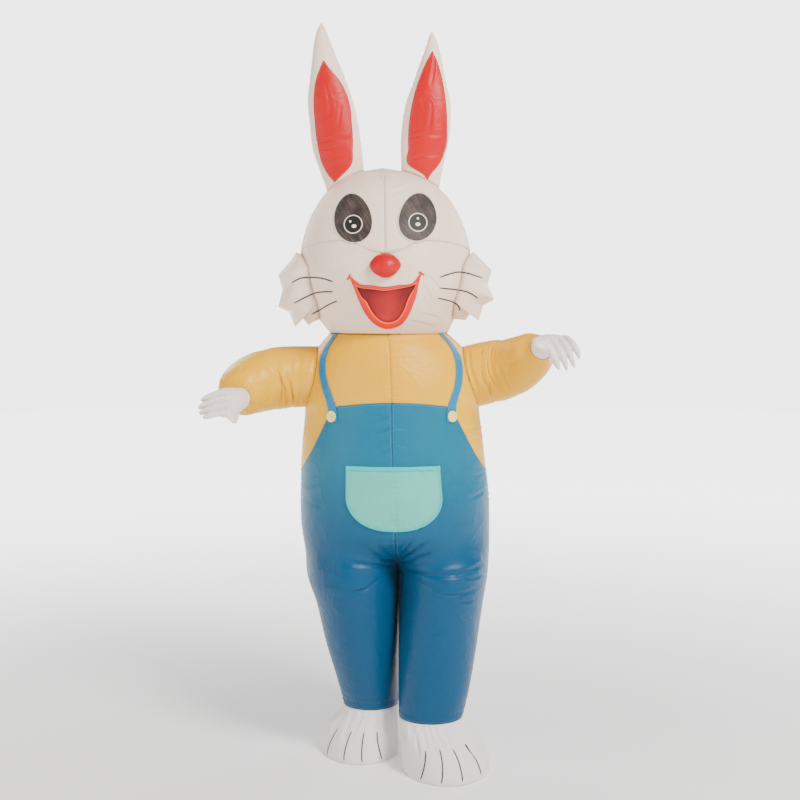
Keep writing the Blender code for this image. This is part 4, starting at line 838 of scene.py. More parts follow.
def all_finishes() -> dict[Finish, bpy.types.Material]:
    """Every finish's material."""
    cloths = {
        Finish.WHITE: ((236, 212, 190), (220, 188, 166), 0.46, 0.9, 0.06, (238, 236, 234), -0.90, -1.20),
        Finish.RED: ((186, 0, 12), (160, 0, 8), 0.42),
        Finish.TRIM: ((220, 24, 0), (196, 16, 0), 0.45, 0.3),
        Finish.TRIM_LIGHT: ((255, 92, 40), (240, 76, 30), 0.45, 0.2),
        Finish.YELLOW: ((232, 172, 0), (214, 148, 0), 0.38, 1.0, 0.06, (228, 172, 0), -0.02, -0.34),
        # The blue's low colour is painted shade: the legs turn darker towards the hems.
        Finish.BLUE: ((0, 104, 130), (0, 90, 130), 0.42, 1.0, 0.06, (0, 70, 108), -0.30, -0.74),
        Finish.STRAP: ((14, 118, 160), (4, 100, 144), 0.40),
        Finish.TEAL: ((86, 188, 172), (62, 166, 152), 0.40),
        Finish.BINDING: ((20, 188, 190), (10, 168, 172), 0.42, 0.3),
        Finish.SATIN: ((234, 220, 214), (214, 196, 190), 0.34, 1.0, 0.15),
        Finish.TAPE: ((150, 152, 154), (120, 122, 124), 0.70, 0.2),
    }
    made = {kind: Taffeta(kind.value, *sizes).material() for kind, sizes in cloths.items()}
    made[Finish.NET] = SheerMesh(Finish.NET.value, -0.042).material()
    eyes = {
        Finish.EYE_RIGHT: ((-0.1446, 1.7448), (-0.1538, 1.7540), (-0.1416, 1.7387)),
        Finish.EYE_LEFT: ((0.0554, 1.7509), (0.0554, 1.7631), (0.0554, 1.7448)),
    }
    for kind, spots in eyes.items():
        made[kind] = EyePrint(kind.value, *spots).material()
    made[Finish.BUTTON] = Moulded(Finish.BUTTON.value, screen(228, 214, 120), screen(238, 228, 156), 0.34).material()
    made[Finish.BLACK] = Moulded(Finish.BLACK.value, screen(36, 36, 38), screen(60, 60, 62), 0.42).material()
    made[Finish.METAL] = Moulded(Finish.METAL.value, screen(190, 190, 192), screen(150, 150, 150), 0.30, 1.0).material()
    made[Finish.LINE] = PrintedLine(Finish.LINE.value).material()
    return made


# Pieces
def put(name: str, data: bpy.types.ID) -> bpy.types.Object:
    """Links a new object that holds the data."""
    item = bpy.data.objects.new(name, data)
    bpy.context.scene.collection.objects.link(item)
    return item


def thicken(piece: bpy.types.Object, thick: float) -> None:
    """Gives a surface a wall, laid inwards."""
    wall = piece.modifiers.new("thickness", "SOLIDIFY")
    wall.thickness = thick
    wall.offset = -1.0


def crossed(points: Array, faces: Array) -> Array:
    """Cross product of each quad's diagonals: square to it, and as long as twice its area."""
    first, second, third, fourth = (points[faces[:, place]] for place in range(4))
    return np.cross(third - first, fourth - second)


@dataclass
class Hole:
    """Opening cut in a grid: which of its points lie inside, and its outline on the surface."""

    inside: Array
    outline: Array


class Workshop:
    """Puts finished grids into the scene as pieces that ride on the costume."""

    def __init__(self) -> None:
        """Makes every finish."""
        self.finishes = all_finishes()

    @staticmethod
    def corners(rows: int, columns: int, loop: bool) -> Array:
        """Corner places of each quad of a grid, as indices into a grid with one column more if it is a loop."""
        wide = columns + 1 if loop else columns
        index = np.arange(rows * wide).reshape(rows, wide)
        return np.stack([index[:-1, :-1], index[:-1, 1:], index[1:, 1:], index[1:, :-1]], axis=-1).reshape(-1, 4)

    @staticmethod
    def charts(points: Array, loop: bool) -> dict[str, Array]:
        """Two maps of a grid in metres.

        The cloth map holds the lengths run along its rows and columns. The seam map holds the distance
        from the nearest edge, and the place along that edge.

        Args:
            points: The grid, with its first column repeated at the end if it is a loop.
            loop: Whether its columns close.

        Returns:
            Each map's coordinates at the places of the grid.
        """
        across = np.cumsum(np.linalg.norm(np.diff(points, axis=1, prepend=points[:, :1]), axis=-1), axis=1)
        along = np.cumsum(np.linalg.norm(np.diff(points, axis=0, prepend=points[:1]), axis=-1), axis=0)
        ends = np.minimum(along, along[-1:] - along)
        sides = np.minimum(across, across[:, -1:] - across) + (FAR if loop else 0.0)
        nearest = np.minimum(ends, sides)
        return {
            "cloth": np.stack([across, along], axis=-1),
            "seam": np.stack([nearest, np.where(ends < sides, across, along)], axis=-1),
        }

    def cloth(
        self,
        name: str,
        points: Array,
        finish: Finish,
        nodes: Sequence[str],
        outward: Array,
        held: str | None = "stretched",
        loop: bool = False,
        hole: Hole | None = None,
        thick: float = 0.0007,
        maps: dict[str, Array] | None = None,
        with_pieces: Sequence[bpy.types.Object] = (),
    ) -> bpy.types.Object:
        """Adds a thin wall on a grid of points.

        Args:
            name: Name of the piece.
            points: Grid of points, heights above the floor.
            finish: Its finish.
            nodes: CAD nodes that it stands for.
            outward: Point, or points of the grid's shape, that the wall faces away from.
            held: How the sheet is held, or None where it belongs to another sheet; only whether it is None is read, to
                decide whether the sheet's cut is logged.
            loop: Whether its columns close.
            hole: Opening cut in it.
            thick: Thickness of the cloth, laid inwards.
            maps: More maps of the grid.
            with_pieces: Pieces that belong to the sheet; not used.

        Returns:
            The finished piece.
        """
        rows, columns = points.shape[:2]
        points = points - [0, 0, HOLD_HEIGHT]
        corners = self.corners(rows, columns, loop)
        if hole is not None:
            inside = hole.inside.reshape(-1)
            corners = corners[~inside[corners].all(axis=1)]
            used = np.zeros(rows * columns, bool)
            used[corners.reshape(-1)] = True
            moved = np.flatnonzero(used & inside)
            outline = hole.outline - [0, 0, HOLD_HEIGHT]
            flat = points.reshape(-1, 3)
            apart = np.linalg.norm(flat[moved][:, None] - outline[None], axis=-1)
            flat[moved] = outline[apart.argmin(axis=1)]
            points = flat.reshape(rows, columns, 3)
        wide = np.concatenate([points, points[:, :1]], axis=1) if loop else points
        charts = self.charts(wide, loop) | (maps or {})
        row, column = np.divmod(corners, wide.shape[1])
        faces = row * columns + column % columns
        flat = points.reshape(-1, 3)
        inner = np.broadcast_to(outward, points.shape).reshape(-1, 3)[faces[:, 0]] - [0, 0, HOLD_HEIGHT]
        if np.sum(crossed(flat, faces) * (flat[faces[:, 0]] - inner)) < 0:
            faces, corners = faces[:, ::-1], corners[:, ::-1]
        kept = np.unique(faces)
        mesh = bpy.data.meshes.new(name)
        mesh.from_pydata(flat[kept].tolist(), [], np.searchsorted(kept, faces).tolist())
        for label, places in charts.items():
            layer = mesh.uv_layers.new(name=label)
            layer.data.foreach_set("uv", places.reshape(-1, 2)[corners.reshape(-1)].astype(np.float32).ravel())
        piece = self.add(name, mesh, finish, nodes)
        thicken(piece, thick)
        if held:
            self.declare(piece, wide, faces, flat, held, with_pieces)
        return piece

    def add(
        self, name: str, mesh: bpy.types.Mesh, finish: Finish, nodes: Sequence[str], body: str = "costume"
    ) -> bpy.types.Object:
        """Links a mesh as a smooth piece that rides on a body and stands for its nodes."""
        work = bmesh.new()
        work.from_mesh(mesh)
        bmesh.ops.remove_doubles(work, verts=work.verts, dist=WELD)
        work.to_mesh(mesh)
        work.free()
        mesh.polygons.foreach_set("use_smooth", np.ones(len(mesh.polygons), bool))
        mesh.materials.append(self.finishes[finish])
        piece = put(name, mesh)
        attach(piece, body)
        if nodes:
            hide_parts(*nodes)
        LOG.info("piece %s: %d faces", name, len(mesh.polygons))
        return piece

    @staticmethod
    def declare(
        piece: bpy.types.Object, wide: Array, faces: Array, flat: Array, held: str,
        with_pieces: Sequence[bpy.types.Object],
    ) -> None:
        """States a sheet's cut: its longest row and column, rounded up, and the area of its faces."""
        width = np.linalg.norm(np.diff(wide, axis=1), axis=-1).sum(axis=1).max()
        length = np.linalg.norm(np.diff(wide, axis=0), axis=-1).sum(axis=0).max()
        area = float(np.linalg.norm(crossed(flat, faces), axis=-1).sum() / 2)
        width, length = round(float(width), 4) + 1e-4, round(float(length), 4) + 1e-4
        LOG.info("cut of %s: %.3f x %.3f m, %.4f m2", piece.name, width, length, area)

    def ribbons(
        self, name: str, lines: Sequence[Sequence[Sequence[float]]], skin: Callable[[Array, Array, Array], Array],
        width: float, finish: Finish, outward: Array, out: float = 0.0007, steps: int = 40,
    ) -> list[bpy.types.Object]:
        """Narrow strips that follow lines on a surface, each its own piece.

        Each line is read smoothly at even steps, and moved to both sides in the surface's flat map. The
        strip narrows over the last part of its length, and its middle is crowned.

        Args:
            name: Name that the strips are numbered after.
            lines: Each line's places on the map, a row each.
            skin: Surface over the map, with its lift.
            width: Full width of a strip.
            finish: Their finish.
            outward: Point that the strips face away from.
            out: Lift above the surface.
            steps: Number of steps along each line.

        Returns:
            The finished pieces.
        """
        share = np.linspace(0, 1, steps)
        wide = np.linspace(-1, 1, 5)
        pieces = []
        for number, line in enumerate(lines, 1):
            places = Table("along u v", np.column_stack([np.linspace(0, 1, len(line)), line]))
            u, v = places.at("u", share), places.at("v", share)
            step = unit(np.stack([np.gradient(u), np.gradient(v)], axis=-1))
            half = width / 2 * np.clip(np.sqrt(1 - np.abs(2 * share - 1) ** 12), 0.12, 1)[:, None] * wide
            lift = out + 0.0004 * (1 - wide**2) + 0 * half
            strip = skin(u[:, None] - half * step[:, 1:], v[:, None] + half * step[:, :1], lift)
            pieces.append(self.cloth(f"{name}_{number}", strip, finish, (), outward, None, thick=0.0006))
        return pieces


MOUTH = in_mm("turn x z inner_x inner_z", (
    (0, -152, 1580, -134.5, 1556), (36, -135, 1568.6, -128.5, 1552.5), (60, -124, 1561, -117, 1549.5),
    (130, -84, 1555, -82, 1545.5), (190, -46, 1551, -46, 1541.5), (250, -6, 1556, -7.5, 1546.5),
    (320, 40, 1565, 36, 1556), (340, 48, 1574, 42.5, 1559.5), (380, 64, 1592, 48, 1563),
    (405, 58.4, 1570, 48.5, 1559), (430, 53.4, 1548.8, 44, 1547), (460, 47, 1523, 37.5, 1524.5),
    (500, 37.5, 1498.5, 28.3, 1501), (560, 28, 1474, 20, 1479), (640, 1, 1437, -4, 1445),
    (710, -38, 1424, -38, 1433.5), (780, -75, 1437, -70, 1445), (860, -107, 1474, -98.5, 1478.5),
    (910, -121.4, 1504.6, -112.2, 1507), (940, -130, 1523, -120.7, 1524.5), (956, -136, 1539, -126.8, 1537),
    (974, -142.8, 1556, -134, 1551.5),
), loop=1.0)


@dataclass(frozen=True)
class EyeSize:
    """Place and size of one printed eye patch."""

    x: float
    z: float
    half_width: float
    half_height: float
    lean: float
    lift: float


@dataclass
class HeadShell:
    """Head: four crown panels, the muzzle with its mouth, and what is sewn and printed on the face."""

    rows: int = 64
    columns: int = 52
    muzzle_rows: int = 74
    muzzle_columns: int = 200
    hole_share: float = 0.62
    trim: tuple[float, float] = (-0.15, 0.85)
    piping: tuple[float, float] = (0.78, 1.12)
    low_trim: float = 0.75
    net_depth: float = 0.0026
    whisker_width: float = 0.0046
    whisker_lift: float = 0.0010
    whisker_thick: float = 0.0009
    window_angles: tuple[float, float] = (56.25, 123.75)
    window_rows: tuple[float, float] = (0.08, 0.70)
    nose: tuple[float, ...] = (-0.045, 1.617, 0.046, 0.037, 0.042)
    eyes: dict[Side, EyeSize] = per_side(
        EyeSize(0.0545, 1.768, 0.060, 0.079, 0.16, 0.0018),
        EyeSize(-0.1455, 1.765, 0.061, 0.081, -0.16, 0.0011),
    )
    whiskers: dict[Side, tuple] = per_side(
        (
            ((0.122, 1.581), (0.160, 1.594), (0.198, 1.599), (0.266, 1.581)),
            ((0.122, 1.549), (0.204, 1.540), (0.250, 1.517)),
            ((0.116, 1.518), (0.160, 1.508), (0.182, 1.496), (0.192, 1.477)),
        ),
        (
            ((-0.345, 1.566), (-0.307, 1.582), (-0.250, 1.580), (-0.207, 1.568)),
            ((-0.340, 1.500), (-0.276, 1.531), (-0.240, 1.537), (-0.207, 1.537)),
            ((-0.283, 1.465), (-0.226, 1.496), (-0.195, 1.509)),
        ),
    )

    @staticmethod
    def core(points: Array) -> Array:
        """Points of the head's upright middle line, at the heights of others."""
        return points * [0, 0, 1] + [-0.047, 0, 0]

    def panel(self, shop: Workshop, side: Side, face: Face) -> None:
        """One quarter of the crown: rows crowd towards its top, and its lowest row follows the muzzle's seam."""
        share = np.linspace(0, 1, self.columns)
        low = MUZZLE_EDGE.at("height", share * 90) if face is Face.FRONT else NECK_HEIGHT + 0 * share
        low = low + SEAM_GAP / 2
        up = np.linspace(0, 1, self.rows)[:, None]
        height = low + (CROWN_HEIGHT - low) * (1 - (1 - up) ** 1.7)
        angle = share * QUARTER + 0 * height
        points = head_skin(side.seen(angle, face), height) + hair(side, face)
        name = f"head_{face.word}_{side.word}"
        shop.cloth(f"crown_{face.word}_{side.word}", points, Finish.WHITE, [name], self.core(points))

    def mouth_line(self, share: Array, turn: Array) -> tuple[Array, Array]:
        """Places between the mouth's outline, share 0, and the trim's inner edge, share 1."""
        x = MOUTH.at("x", turn) * (1 - share) + MOUTH.at("inner_x", turn) * share
        z = MOUTH.at("z", turn) * (1 - share) + MOUTH.at("inner_z", turn) * share
        return x, z

    def muzzle_place(self, rows: Array, columns: Array) -> tuple[Array, Array]:
        """Angle and height between the neck seam, row 0, and the cheek seam, row 1."""
        share, angle = grid(rows, columns)
        low = NECK_HEIGHT + SEAM_GAP / 2
        high = MUZZLE_EDGE.at("height", np.degrees(angle)) - SEAM_GAP / 2
        return angle, low + (high - low) * share

    def in_mouth(self, x: Array, z: Array) -> Array:
        """Whether places lie inside the mouth: an odd number of crossings with its outline to their right."""
        line_x, line_z = self.mouth_line(np.array(self.hole_share), np.linspace(0, 1, 240, endpoint=False))
        inside = np.zeros(x.shape, bool)
        for x0, z0, x1, z1 in zip(line_x, line_z, np.roll(line_x, -1), np.roll(line_z, -1)):
            crosses = (z0 > z) != (z1 > z)
            inside ^= crosses & (x < x0 + (z - z0) * (x1 - x0) / (z1 - z0 + 1e-12))
        return inside

    def muzzle(self, shop: Workshop) -> bpy.types.Object:
        """Muzzle panel with the mouth cut out."""
        rows, columns = np.linspace(0, 1, self.muzzle_rows), np.linspace(0.0007, np.pi - 0.0007, self.muzzle_columns)
        points = head_skin(*self.muzzle_place(rows, columns))
        outline = self.mouth_line(np.array(self.hole_share), np.linspace(0, 1, 480, endpoint=False))
        hole = Hole(self.in_mouth(points[..., 0], points[..., 2]), face_skin(*outline))
        return shop.cloth("muzzle_cloth", points, Finish.WHITE, ["muzzle"], self.core(points), hole=hole)

    def mouth(self, shop: Workshop) -> None:
        """Net behind the mouth, padded trim round it, lighter piping inside it, and the corners' cross stitches."""
        rows = np.linspace(*self.window_rows, 50)
        columns = np.linspace(*np.radians(self.window_angles), 60)
        points = head_skin(*self.muzzle_place(rows, columns), -self.net_depth)
        shop.cloth("mouth_net", points, Finish.NET, ["mouth_window"], self.core(points), thick=0.0008)
        for name, (first, last), lift, rise, finish, nodes in (
            ("mouth_edge", self.trim, 0.0020, 0.0016, Finish.TRIM, ["mouth_trim"]),
            ("mouth_piping", self.piping, 0.0012, 0.0016, Finish.TRIM_LIGHT, []),
        ):
            share, turn = grid(np.linspace(first, last, 8), np.linspace(0, 1, 260, endpoint=False))
            share = share * (1 + self.low_trim * smooth_step((turn - 0.42) / 0.05) * smooth_step((0.94 - turn) / 0.04))
            crown = 1 - np.linspace(-1, 1, 8)[:, None] ** 2
            twist = 0.00015 * np.sin(turn * 2 * np.pi * 90 + share * 4)
            points = face_skin(*self.mouth_line(share, turn), lift + rise * crown + twist)
            shop.cloth(name, points, finish, nodes, self.core(points), loop=True)
        ticks = (((-0.161, 1.572), (-0.150, 1.592)), ((0.056, 1.598), (0.074, 1.588)))
        shop.ribbons("mouth_corner", ticks, face_skin, 0.0048, Finish.TRIM, np.array([0.0, 0.3, 1.5]), 0.0030, 12)

    def eye(self, shop: Workshop, side: Side) -> None:
        """Printed patch: a disc drawn out to an egg that leans, laid on the face."""
        size = self.eyes[side]
        across, up = disc(56)
        x = size.x + size.half_width * across * (1 - 0.13 * up) + size.lean * size.half_height * up * 0.5
        points = face_skin(x, size.z + size.half_height * up, size.lift + 0.0010)
        finish = Finish.EYE_LEFT if side is Side.LEFT else Finish.EYE_RIGHT
        maps = {"disc": np.stack([across, up], axis=-1)}
        node = f"eye_patch_{side.word}"
        shop.cloth(f"eye_print_{side.word}", points, finish, [node], self.core(points), "laid", maps=maps)

    def nose_pad(self, shop: Workshop) -> None:
        """Nose: a disc raised to a soft dome with four slight lobes and gathers at its rim."""
        x0, z0, half_width, half_height, depth = self.nose
        across, up = disc(48)
        radius = np.hypot(across, up)
        turn = np.arctan2(up, across)
        full = np.sin(radius * QUARTER) / (radius + 1e-9) * (1 + 0.05 * np.cos(4 * turn) * radius)
        gather = 0.0010 * np.sin(15 * turn + 2 * np.sin(3 * turn)) * smooth_step((radius - 0.55) / 0.3)
        points = face_skin(x0 + half_width * across * full, z0 + half_height * up * full, 0.0006)
        points[..., 1] -= (depth + gather) * np.clip(1 - (full * radius) ** 2 / 1.12, 0, 1) ** 0.45
        shop.cloth("nose_cover", points, Finish.RED, ["nose"], np.array([x0, -0.2, z0]))

    def whisker_cords(self, shop: Workshop, side: Side, muzzle: bpy.types.Object, tuft: bpy.types.Object) -> None:
        """Whiskers: strips thrown from the front onto the muzzle and the tuft beside it."""

        def front(x: Array, z: Array, out: Array) -> Array:
            """Upright plane in front of the face."""
            return np.stack([x, -0.6 - out, z], axis=-1)

        name, lines, behind = f"whisker_{side.word}", self.whiskers[side], np.array([0.0, 0.0, 1.5])
        for piece in shop.ribbons(name, lines, front, self.whisker_width, Finish.LINE, behind):
            piece.modifiers.clear()
            throw = piece.modifiers.new("throw", "SHRINKWRAP")
            throw.wrap_method = "PROJECT"
            throw.use_project_y = True
            throw.use_positive_direction = True
            throw.use_negative_direction = False
            throw.target = muzzle
            throw.auxiliary_target = tuft
            throw.offset = self.whisker_lift
            graph = bpy.context.evaluated_depsgraph_get()
            flat = piece.data
            piece.data = bpy.data.meshes.new_from_object(piece.evaluated_get(graph))
            piece.data.name = piece.name
            piece.modifiers.clear()
            bpy.data.meshes.remove(flat)
            thicken(piece, self.whisker_thick)

    def build(self, shop: Workshop) -> bpy.types.Object:
        """All of the head but its ears and tufts.

        Args:
            shop: Workshop that adds the pieces.

        Returns:
            The muzzle.
        """
        for side in Side:
            for face in Face:
                self.panel(shop, side, face)
            self.eye(shop, side)
        muzzle = self.muzzle(shop)
        self.mouth(shop)
        self.nose_pad(shop)
        return muzzle


@dataclass
class Ears:
    """Upright ears: a front and a back half each, and the red cloth on the front."""

    rows: int = 80
    columns: int = 40
    lift: float = 0.0022
    forms: dict[Side, Table] = per_side(
        in_mm("height low_x high_x half_depth", (
            (1870, -4, 128, 34), (1937, 3, 140, 38), (1999, 1, 153, 43), (2080, 6, 164, 47), (2157, 21, 163, 45),
            (2204, 40, 152, 41), (2280, 67, 136, 31), (2330, 84, 123, 20), (2358, 94, 112, 10),
            (2372, 101.5, 102.5, 1),
        )),
        in_mm("height low_x high_x half_depth", (
            (1870, -240, -108, 34), (1937, -264, -116, 38), (1999, -283, -122, 43), (2084, -293, -136, 47),
            (2157, -299, -153, 45), (2227, -291, -177, 40), (2290, -283, -203, 31), (2345, -275, -226, 21),
            (2385, -263, -242, 10), (2402, -252.5, -251.5, 1),
        )),
    )
    inners: dict[Side, Table] = per_side(
        in_mm("height low_x high_x", (
            (1898, 88, 88.5), (1915, 74, 99), (1940, 34, 120), (1999, 28, 146), (2080, 30, 150), (2150, 42, 146),
            (2230, 68, 132), (2285, 92, 114), (2306, 103.5, 104),
        )),
        in_mm("height low_x high_x", (
            (1890, -210, -209.5), (1905, -224, -194), (1940, -246, -160), (1999, -262, -152), (2080, -272, -156),
            (2150, -276, -166), (2215, -268, -196), (2258, -252, -232), (2276, -244, -243.5),
        )),
    )
    folds: dict[Side, Folds] = per_side(
        Folds((
            (22, 2030, 150, 2040, 4, 8, 2.4), (150, 1985, 60, 1975, 4, 6, 2), (30, 1960, 80, 1975, 2, 5, 1.8),
            (110, 2290, 96, 2190, 4, 7, 2), (100, 2140, 90, 2050, 4, 8, 1.6), (60, 2190, 80, 2110, 3, 6, 1.4),
        )),
        Folds((
            (-272, 2016, -150, 2026, 3, 9, 2.6), (-276, 1990, -190, 2000, 2, 5, 2),
            (-250, 1955, -180, 1975, 3, 6, 2), (-262, 2350, -222, 2290, 6, 8, 3.4),
            (-270, 2290, -196, 2250, 4, 7, 2.6), (-240, 2200, -222, 2090, 5, 8, 1.8),
            (-190, 2140, -200, 2060, 3, 6, 1.4),
        )),
    )

    @staticmethod
    def crown_height(x: Array, y: Array) -> Array:
        """Height of the head's top over places seen from above, by halving the range 24 times."""
        low, high = np.full(x.shape, 1.70), np.full(x.shape, CROWN_HEIGHT)
        for _ in range(24):
            height = (low + high) / 2
            depth = np.where(y < 0, HEAD.at("front", height), HEAD.at("back", height))
            inside = ((x - HEAD.at("middle", height)) / HEAD.at("half_width", height)) ** 2 + (y / depth) ** 2 < 1
            low, high = np.where(inside, height, low), np.where(inside, high, height)
        return low

    def surface(self, side: Side) -> Surface:
        """Smooth ear: a level oval at each height."""
        table = self.forms[side]

        def place(turn: Array, height: Array) -> Array:
            """Point at an angle round the oval and a height."""
            low, high = table.at("low_x", height), table.at("high_x", height)
            across = (low + high) / 2 + (high - low) / 2 * np.cos(turn)
            return np.stack([across, -table.at("half_depth", height) * np.sin(turn), height + 0 * turn], axis=-1)

        return place

    def relief(self, side: Side) -> Callable[[Array], Array]:
        """Depth of an ear's folds, side seams and slack at its points."""

        def depth(points: Array) -> Array:
            """Depth at points of the smooth ear."""
            x, y, z = np.moveaxis(points, -1, 0)
            seam = seam_depth(np.abs(y), z, 1.1 + side.value, 0.016, 0.0010)
            end = smooth_step((self.forms[side].key[-1] - z) / 0.05)
            slack = 0.0010 * np.sin(21 * z + 9 * x + side.value) * np.sin(31 * x)
            return (self.folds[side].depth(x, z) * smooth_step(np.abs(y) / 0.02) + seam + slack) * end

        return depth

    def build(self, shop: Workshop) -> None:
        """Both ears."""
        for side in Side:
            surface, relief = self.surface(side), self.relief(side)
            tip = self.forms[side].key[-1]
            for face in Face:
                turn = face.value * np.linspace(0.006, np.pi - 0.006, self.columns)
                base = np.full(turn.shape, 1.92)
                for _ in range(8):
                    base = self.crown_height(*np.moveaxis(surface(turn, base)[..., :2], -1, 0)) + 0.0012
                up = np.linspace(0, 0.997, self.rows)[:, None]
                height = base + (tip - base) * (1 - (1 - up) ** 1.3)
                points = lifted(surface, turn + 0 * height, height, relief, 0.0)
                name = f"ear_{face.word}_{side.word}"
                middle = ring_middle(points) * [1, 0, 1]
                shop.cloth(f"ear_cloth_{face.word}_{side.word}", points, Finish.WHITE, [name], middle)
            self.inner(shop, side, surface, relief)

    def inner(self, shop: Workshop, side: Side, surface: Surface, relief: Callable[[Array], Array]) -> None:
        """Red cloth on the front, between its own two edge lines, laid on the ear."""
        table, form = self.inners[side], self.forms[side]
        height, share = grid(np.linspace(table.key[0], table.key[-1], 96), np.linspace(0, 1, 34))
        x = table.at("low_x", height) + (table.at("high_x", height) - table.at("low_x", height)) * share
        low, high = form.at("low_x", height), form.at("high_x", height)
        turn = np.arccos(np.clip((2 * x - low - high) / (high - low), -0.97, 0.97))
        points = lifted(surface, turn, height, relief, self.lift, self.facing(surface))
        name = f"ear_inner_{side.word}"
        shop.cloth(f"ear_lining_{side.word}", points, Finish.RED, [name], points * [1, 0, 1] + [0, 0.1, 0], "laid")

    @staticmethod
    def facing(surface: Surface) -> int:
        """Sign that turns the surface's cross product towards the front."""
        turn, height = np.array(QUARTER), np.array(2.1)
        step = 1e-4
        normal = np.cross(
            surface(turn + step, height) - surface(turn - step, height),
            surface(turn, height + step) - surface(turn, height - step),
        )
        return -1 if normal[1] > 0 else 1


@dataclass
class CheekTufts:
    """Pointed tufts at the cheeks: cloth folded over a jagged edge."""

    rows: int = 190
    columns: int = 30
    edges: dict[Side, Table] = per_side(
        Table("along x z depth root", (
            (0, 0.24, 1.668, 0.55, 1.655), (0.12, 0.264, 1.642, 0.8, 1.64), (0.25, 0.297, 1.61, 1, 1.615),
            (0.36, 0.284, 1.561, 1, 1.592), (0.5, 0.306, 1.514, 1, 1.568), (0.58, 0.27, 1.494, 1, 1.54),
            (0.7, 0.256, 1.446, 1, 1.508), (0.8, 0.23, 1.472, 0.9, 1.486), (0.9, 0.214, 1.446, 0.75, 1.466),
            (1, 0.19, 1.45, 0.6, 1.452),
        )),
        Table("along x z depth root", (
            (0, -0.336, 1.668, 0.55, 1.655), (0.12, -0.352, 1.642, 0.8, 1.64), (0.25, -0.395, 1.593, 1, 1.615),
            (0.36, -0.381, 1.545, 1, 1.592), (0.5, -0.396, 1.49, 1, 1.568), (0.58, -0.36, 1.474, 1, 1.54),
            (0.7, -0.342, 1.424, 1, 1.508), (0.8, -0.318, 1.456, 0.9, 1.486), (0.9, -0.298, 1.43, 0.75, 1.466),
            (1, -0.278, 1.444, 0.6, 1.452),
        )),
    )

    def build(self, shop: Workshop) -> dict[Side, bpy.types.Object]:
        """Both tufts.

        Args:
            shop: Workshop that adds the pieces.

        Returns:
            The tuft of each side.
        """
        made = {}
        for side in Side:
            table = self.edges[side]
            along, turn = grid(np.linspace(0, 1, self.rows), np.linspace(0, np.pi, self.columns))
            x, z, root, full = (table.straight(name, along) for name in ("x", "z", "root", "depth"))
            tips = np.stack([x, 0 * x - 0.028, z], axis=-1)
            front, back = self.rooted(side, 30 * full, root), self.rooted(side, -20 * full, root)
            middle = (front + back) / 2
            bulge = (np.abs(np.sin(turn)) ** 0.8)[..., None]
            points = middle + (tips - middle) * bulge + (front - back) / 2 * np.cos(turn)[..., None]
            ripple = np.sin(along * 52 + 3 * np.sin(along * 17)) + 0.6 * np.sin(along * 111)
            points[..., 1] -= 0.0016 * ripple * np.sin(turn) ** 2 * np.cos(turn)
            name = f"cheek_tuft_{side.word}"
            made[side] = shop.cloth(f"tuft_{side.word}", points, Finish.WHITE, [name], middle, "gathered")
        return made

    @staticmethod
    def rooted(side: Side, degrees: Array, height: Array) -> Array:
        """Root of a tuft just outside the smooth head."""
        return lifted(head, side.seen(np.radians(degrees)), height, lambda points: 0 * points[..., 0], 0.0022, -1)


def trunk_core(points: Array) -> Array:
    """Points of the trunk's upright middle line, at the heights of others."""
    return points * [0, 0, 1] + [-0.02, 0, 0]


def armhole_ring(side: int, turn: Array, grow: float, out: float) -> Array:
    """Ring on the smooth trunk round an armhole.

    Args:
        side: Sign of the side.
        turn: Angles round the ring.
        grow: Growth of the ring past the armhole's own size.
        out: Shift away from the trunk.

    Returns:
        Points of the ring.
    """
    y = -(ARM_HALF_DEPTH + grow) * np.cos(turn)
    z = ARM_HEIGHT + (ARM_HALF_HEIGHT + grow) * np.sin(turn)
    depth = np.where(y < 0, TRUNK.at("front", z), TRUNK.at("back", z))
    x = TRUNK.at("half_width", z) * np.sqrt(1 - (y / depth) ** 2)
    return np.stack([TRUNK.at("middle", z) + side * (x + out), y, z], axis=-1)


def ring_middle(points: Array) -> Array:
    """Mean of each row of a grid, at all its places."""
    return points.mean(axis=1, keepdims=True) + 0 * points


def on_path(table: Table, along: Array, step: float) -> tuple[Array, Array]:
    """Places on a path and the way that it runs there, over a step to each side."""
    centre, ahead, behind = (
        np.stack([table.at(axis, np.clip(along + shift, 0, 1)) for axis in "xyz"], axis=-1)
        for shift in (0.0, step, -step)
    )
    return centre, unit(ahead - behind)


def trunk_axes(angle: float, height: float, lift: float) -> tuple[Array, Array, Array, Array]:
    """Place over the smooth trunk, its outward way, and the two ways square to that."""
    spot = np.array(angle), np.array(height)
    place, further = (lifted(trunk, *spot, lambda points: 0.0, out, -1) for out in (lift, 0.1))
    way = unit(further - place)
    across = unit(np.cross([0, 0, 1.0], way))
    return place, way, across, np.cross(way, across)


@dataclass
class YellowTop:
    """Top: four panels between bib and neck, with round armholes."""

    rows: int = 84
    columns: int = 76
    clearance: float = 0.0005

    def build(self, shop: Workshop) -> None:
        """All four panels."""
        up, share = grid(np.linspace(0, 1, self.rows), np.linspace(0, 1, self.columns))
        low = BIB_EDGE.at("height", share * 90) + SEAM_GAP / 2
        height = low + (NECK_HEIGHT - SEAM_GAP / 2 - low) * up
        for side in Side:
            for face in Face:
                points = trunk_skin(side.seen(share * QUARTER, face), height, face.value)
                y, z = points[..., 1], points[..., 2]
                inside = (y / (ARM_HALF_DEPTH + self.clearance)) ** 2 + (
                    (z - ARM_HEIGHT) / (ARM_HALF_HEIGHT + self.clearance)
                ) ** 2 < 1
                points = points + hair(side, face)
                name = f"top_{face.word}_{side.word}"
                rim = armhole_ring(side.value, np.linspace(0, 2 * np.pi, 360, endpoint=False), self.clearance, 0.0)
                hole = Hole(inside, rim)
                label = f"top_cloth_{face.word}_{side.word}"
                shop.cloth(label, points, Finish.YELLOW, [name], trunk_core(points), hole=hole)


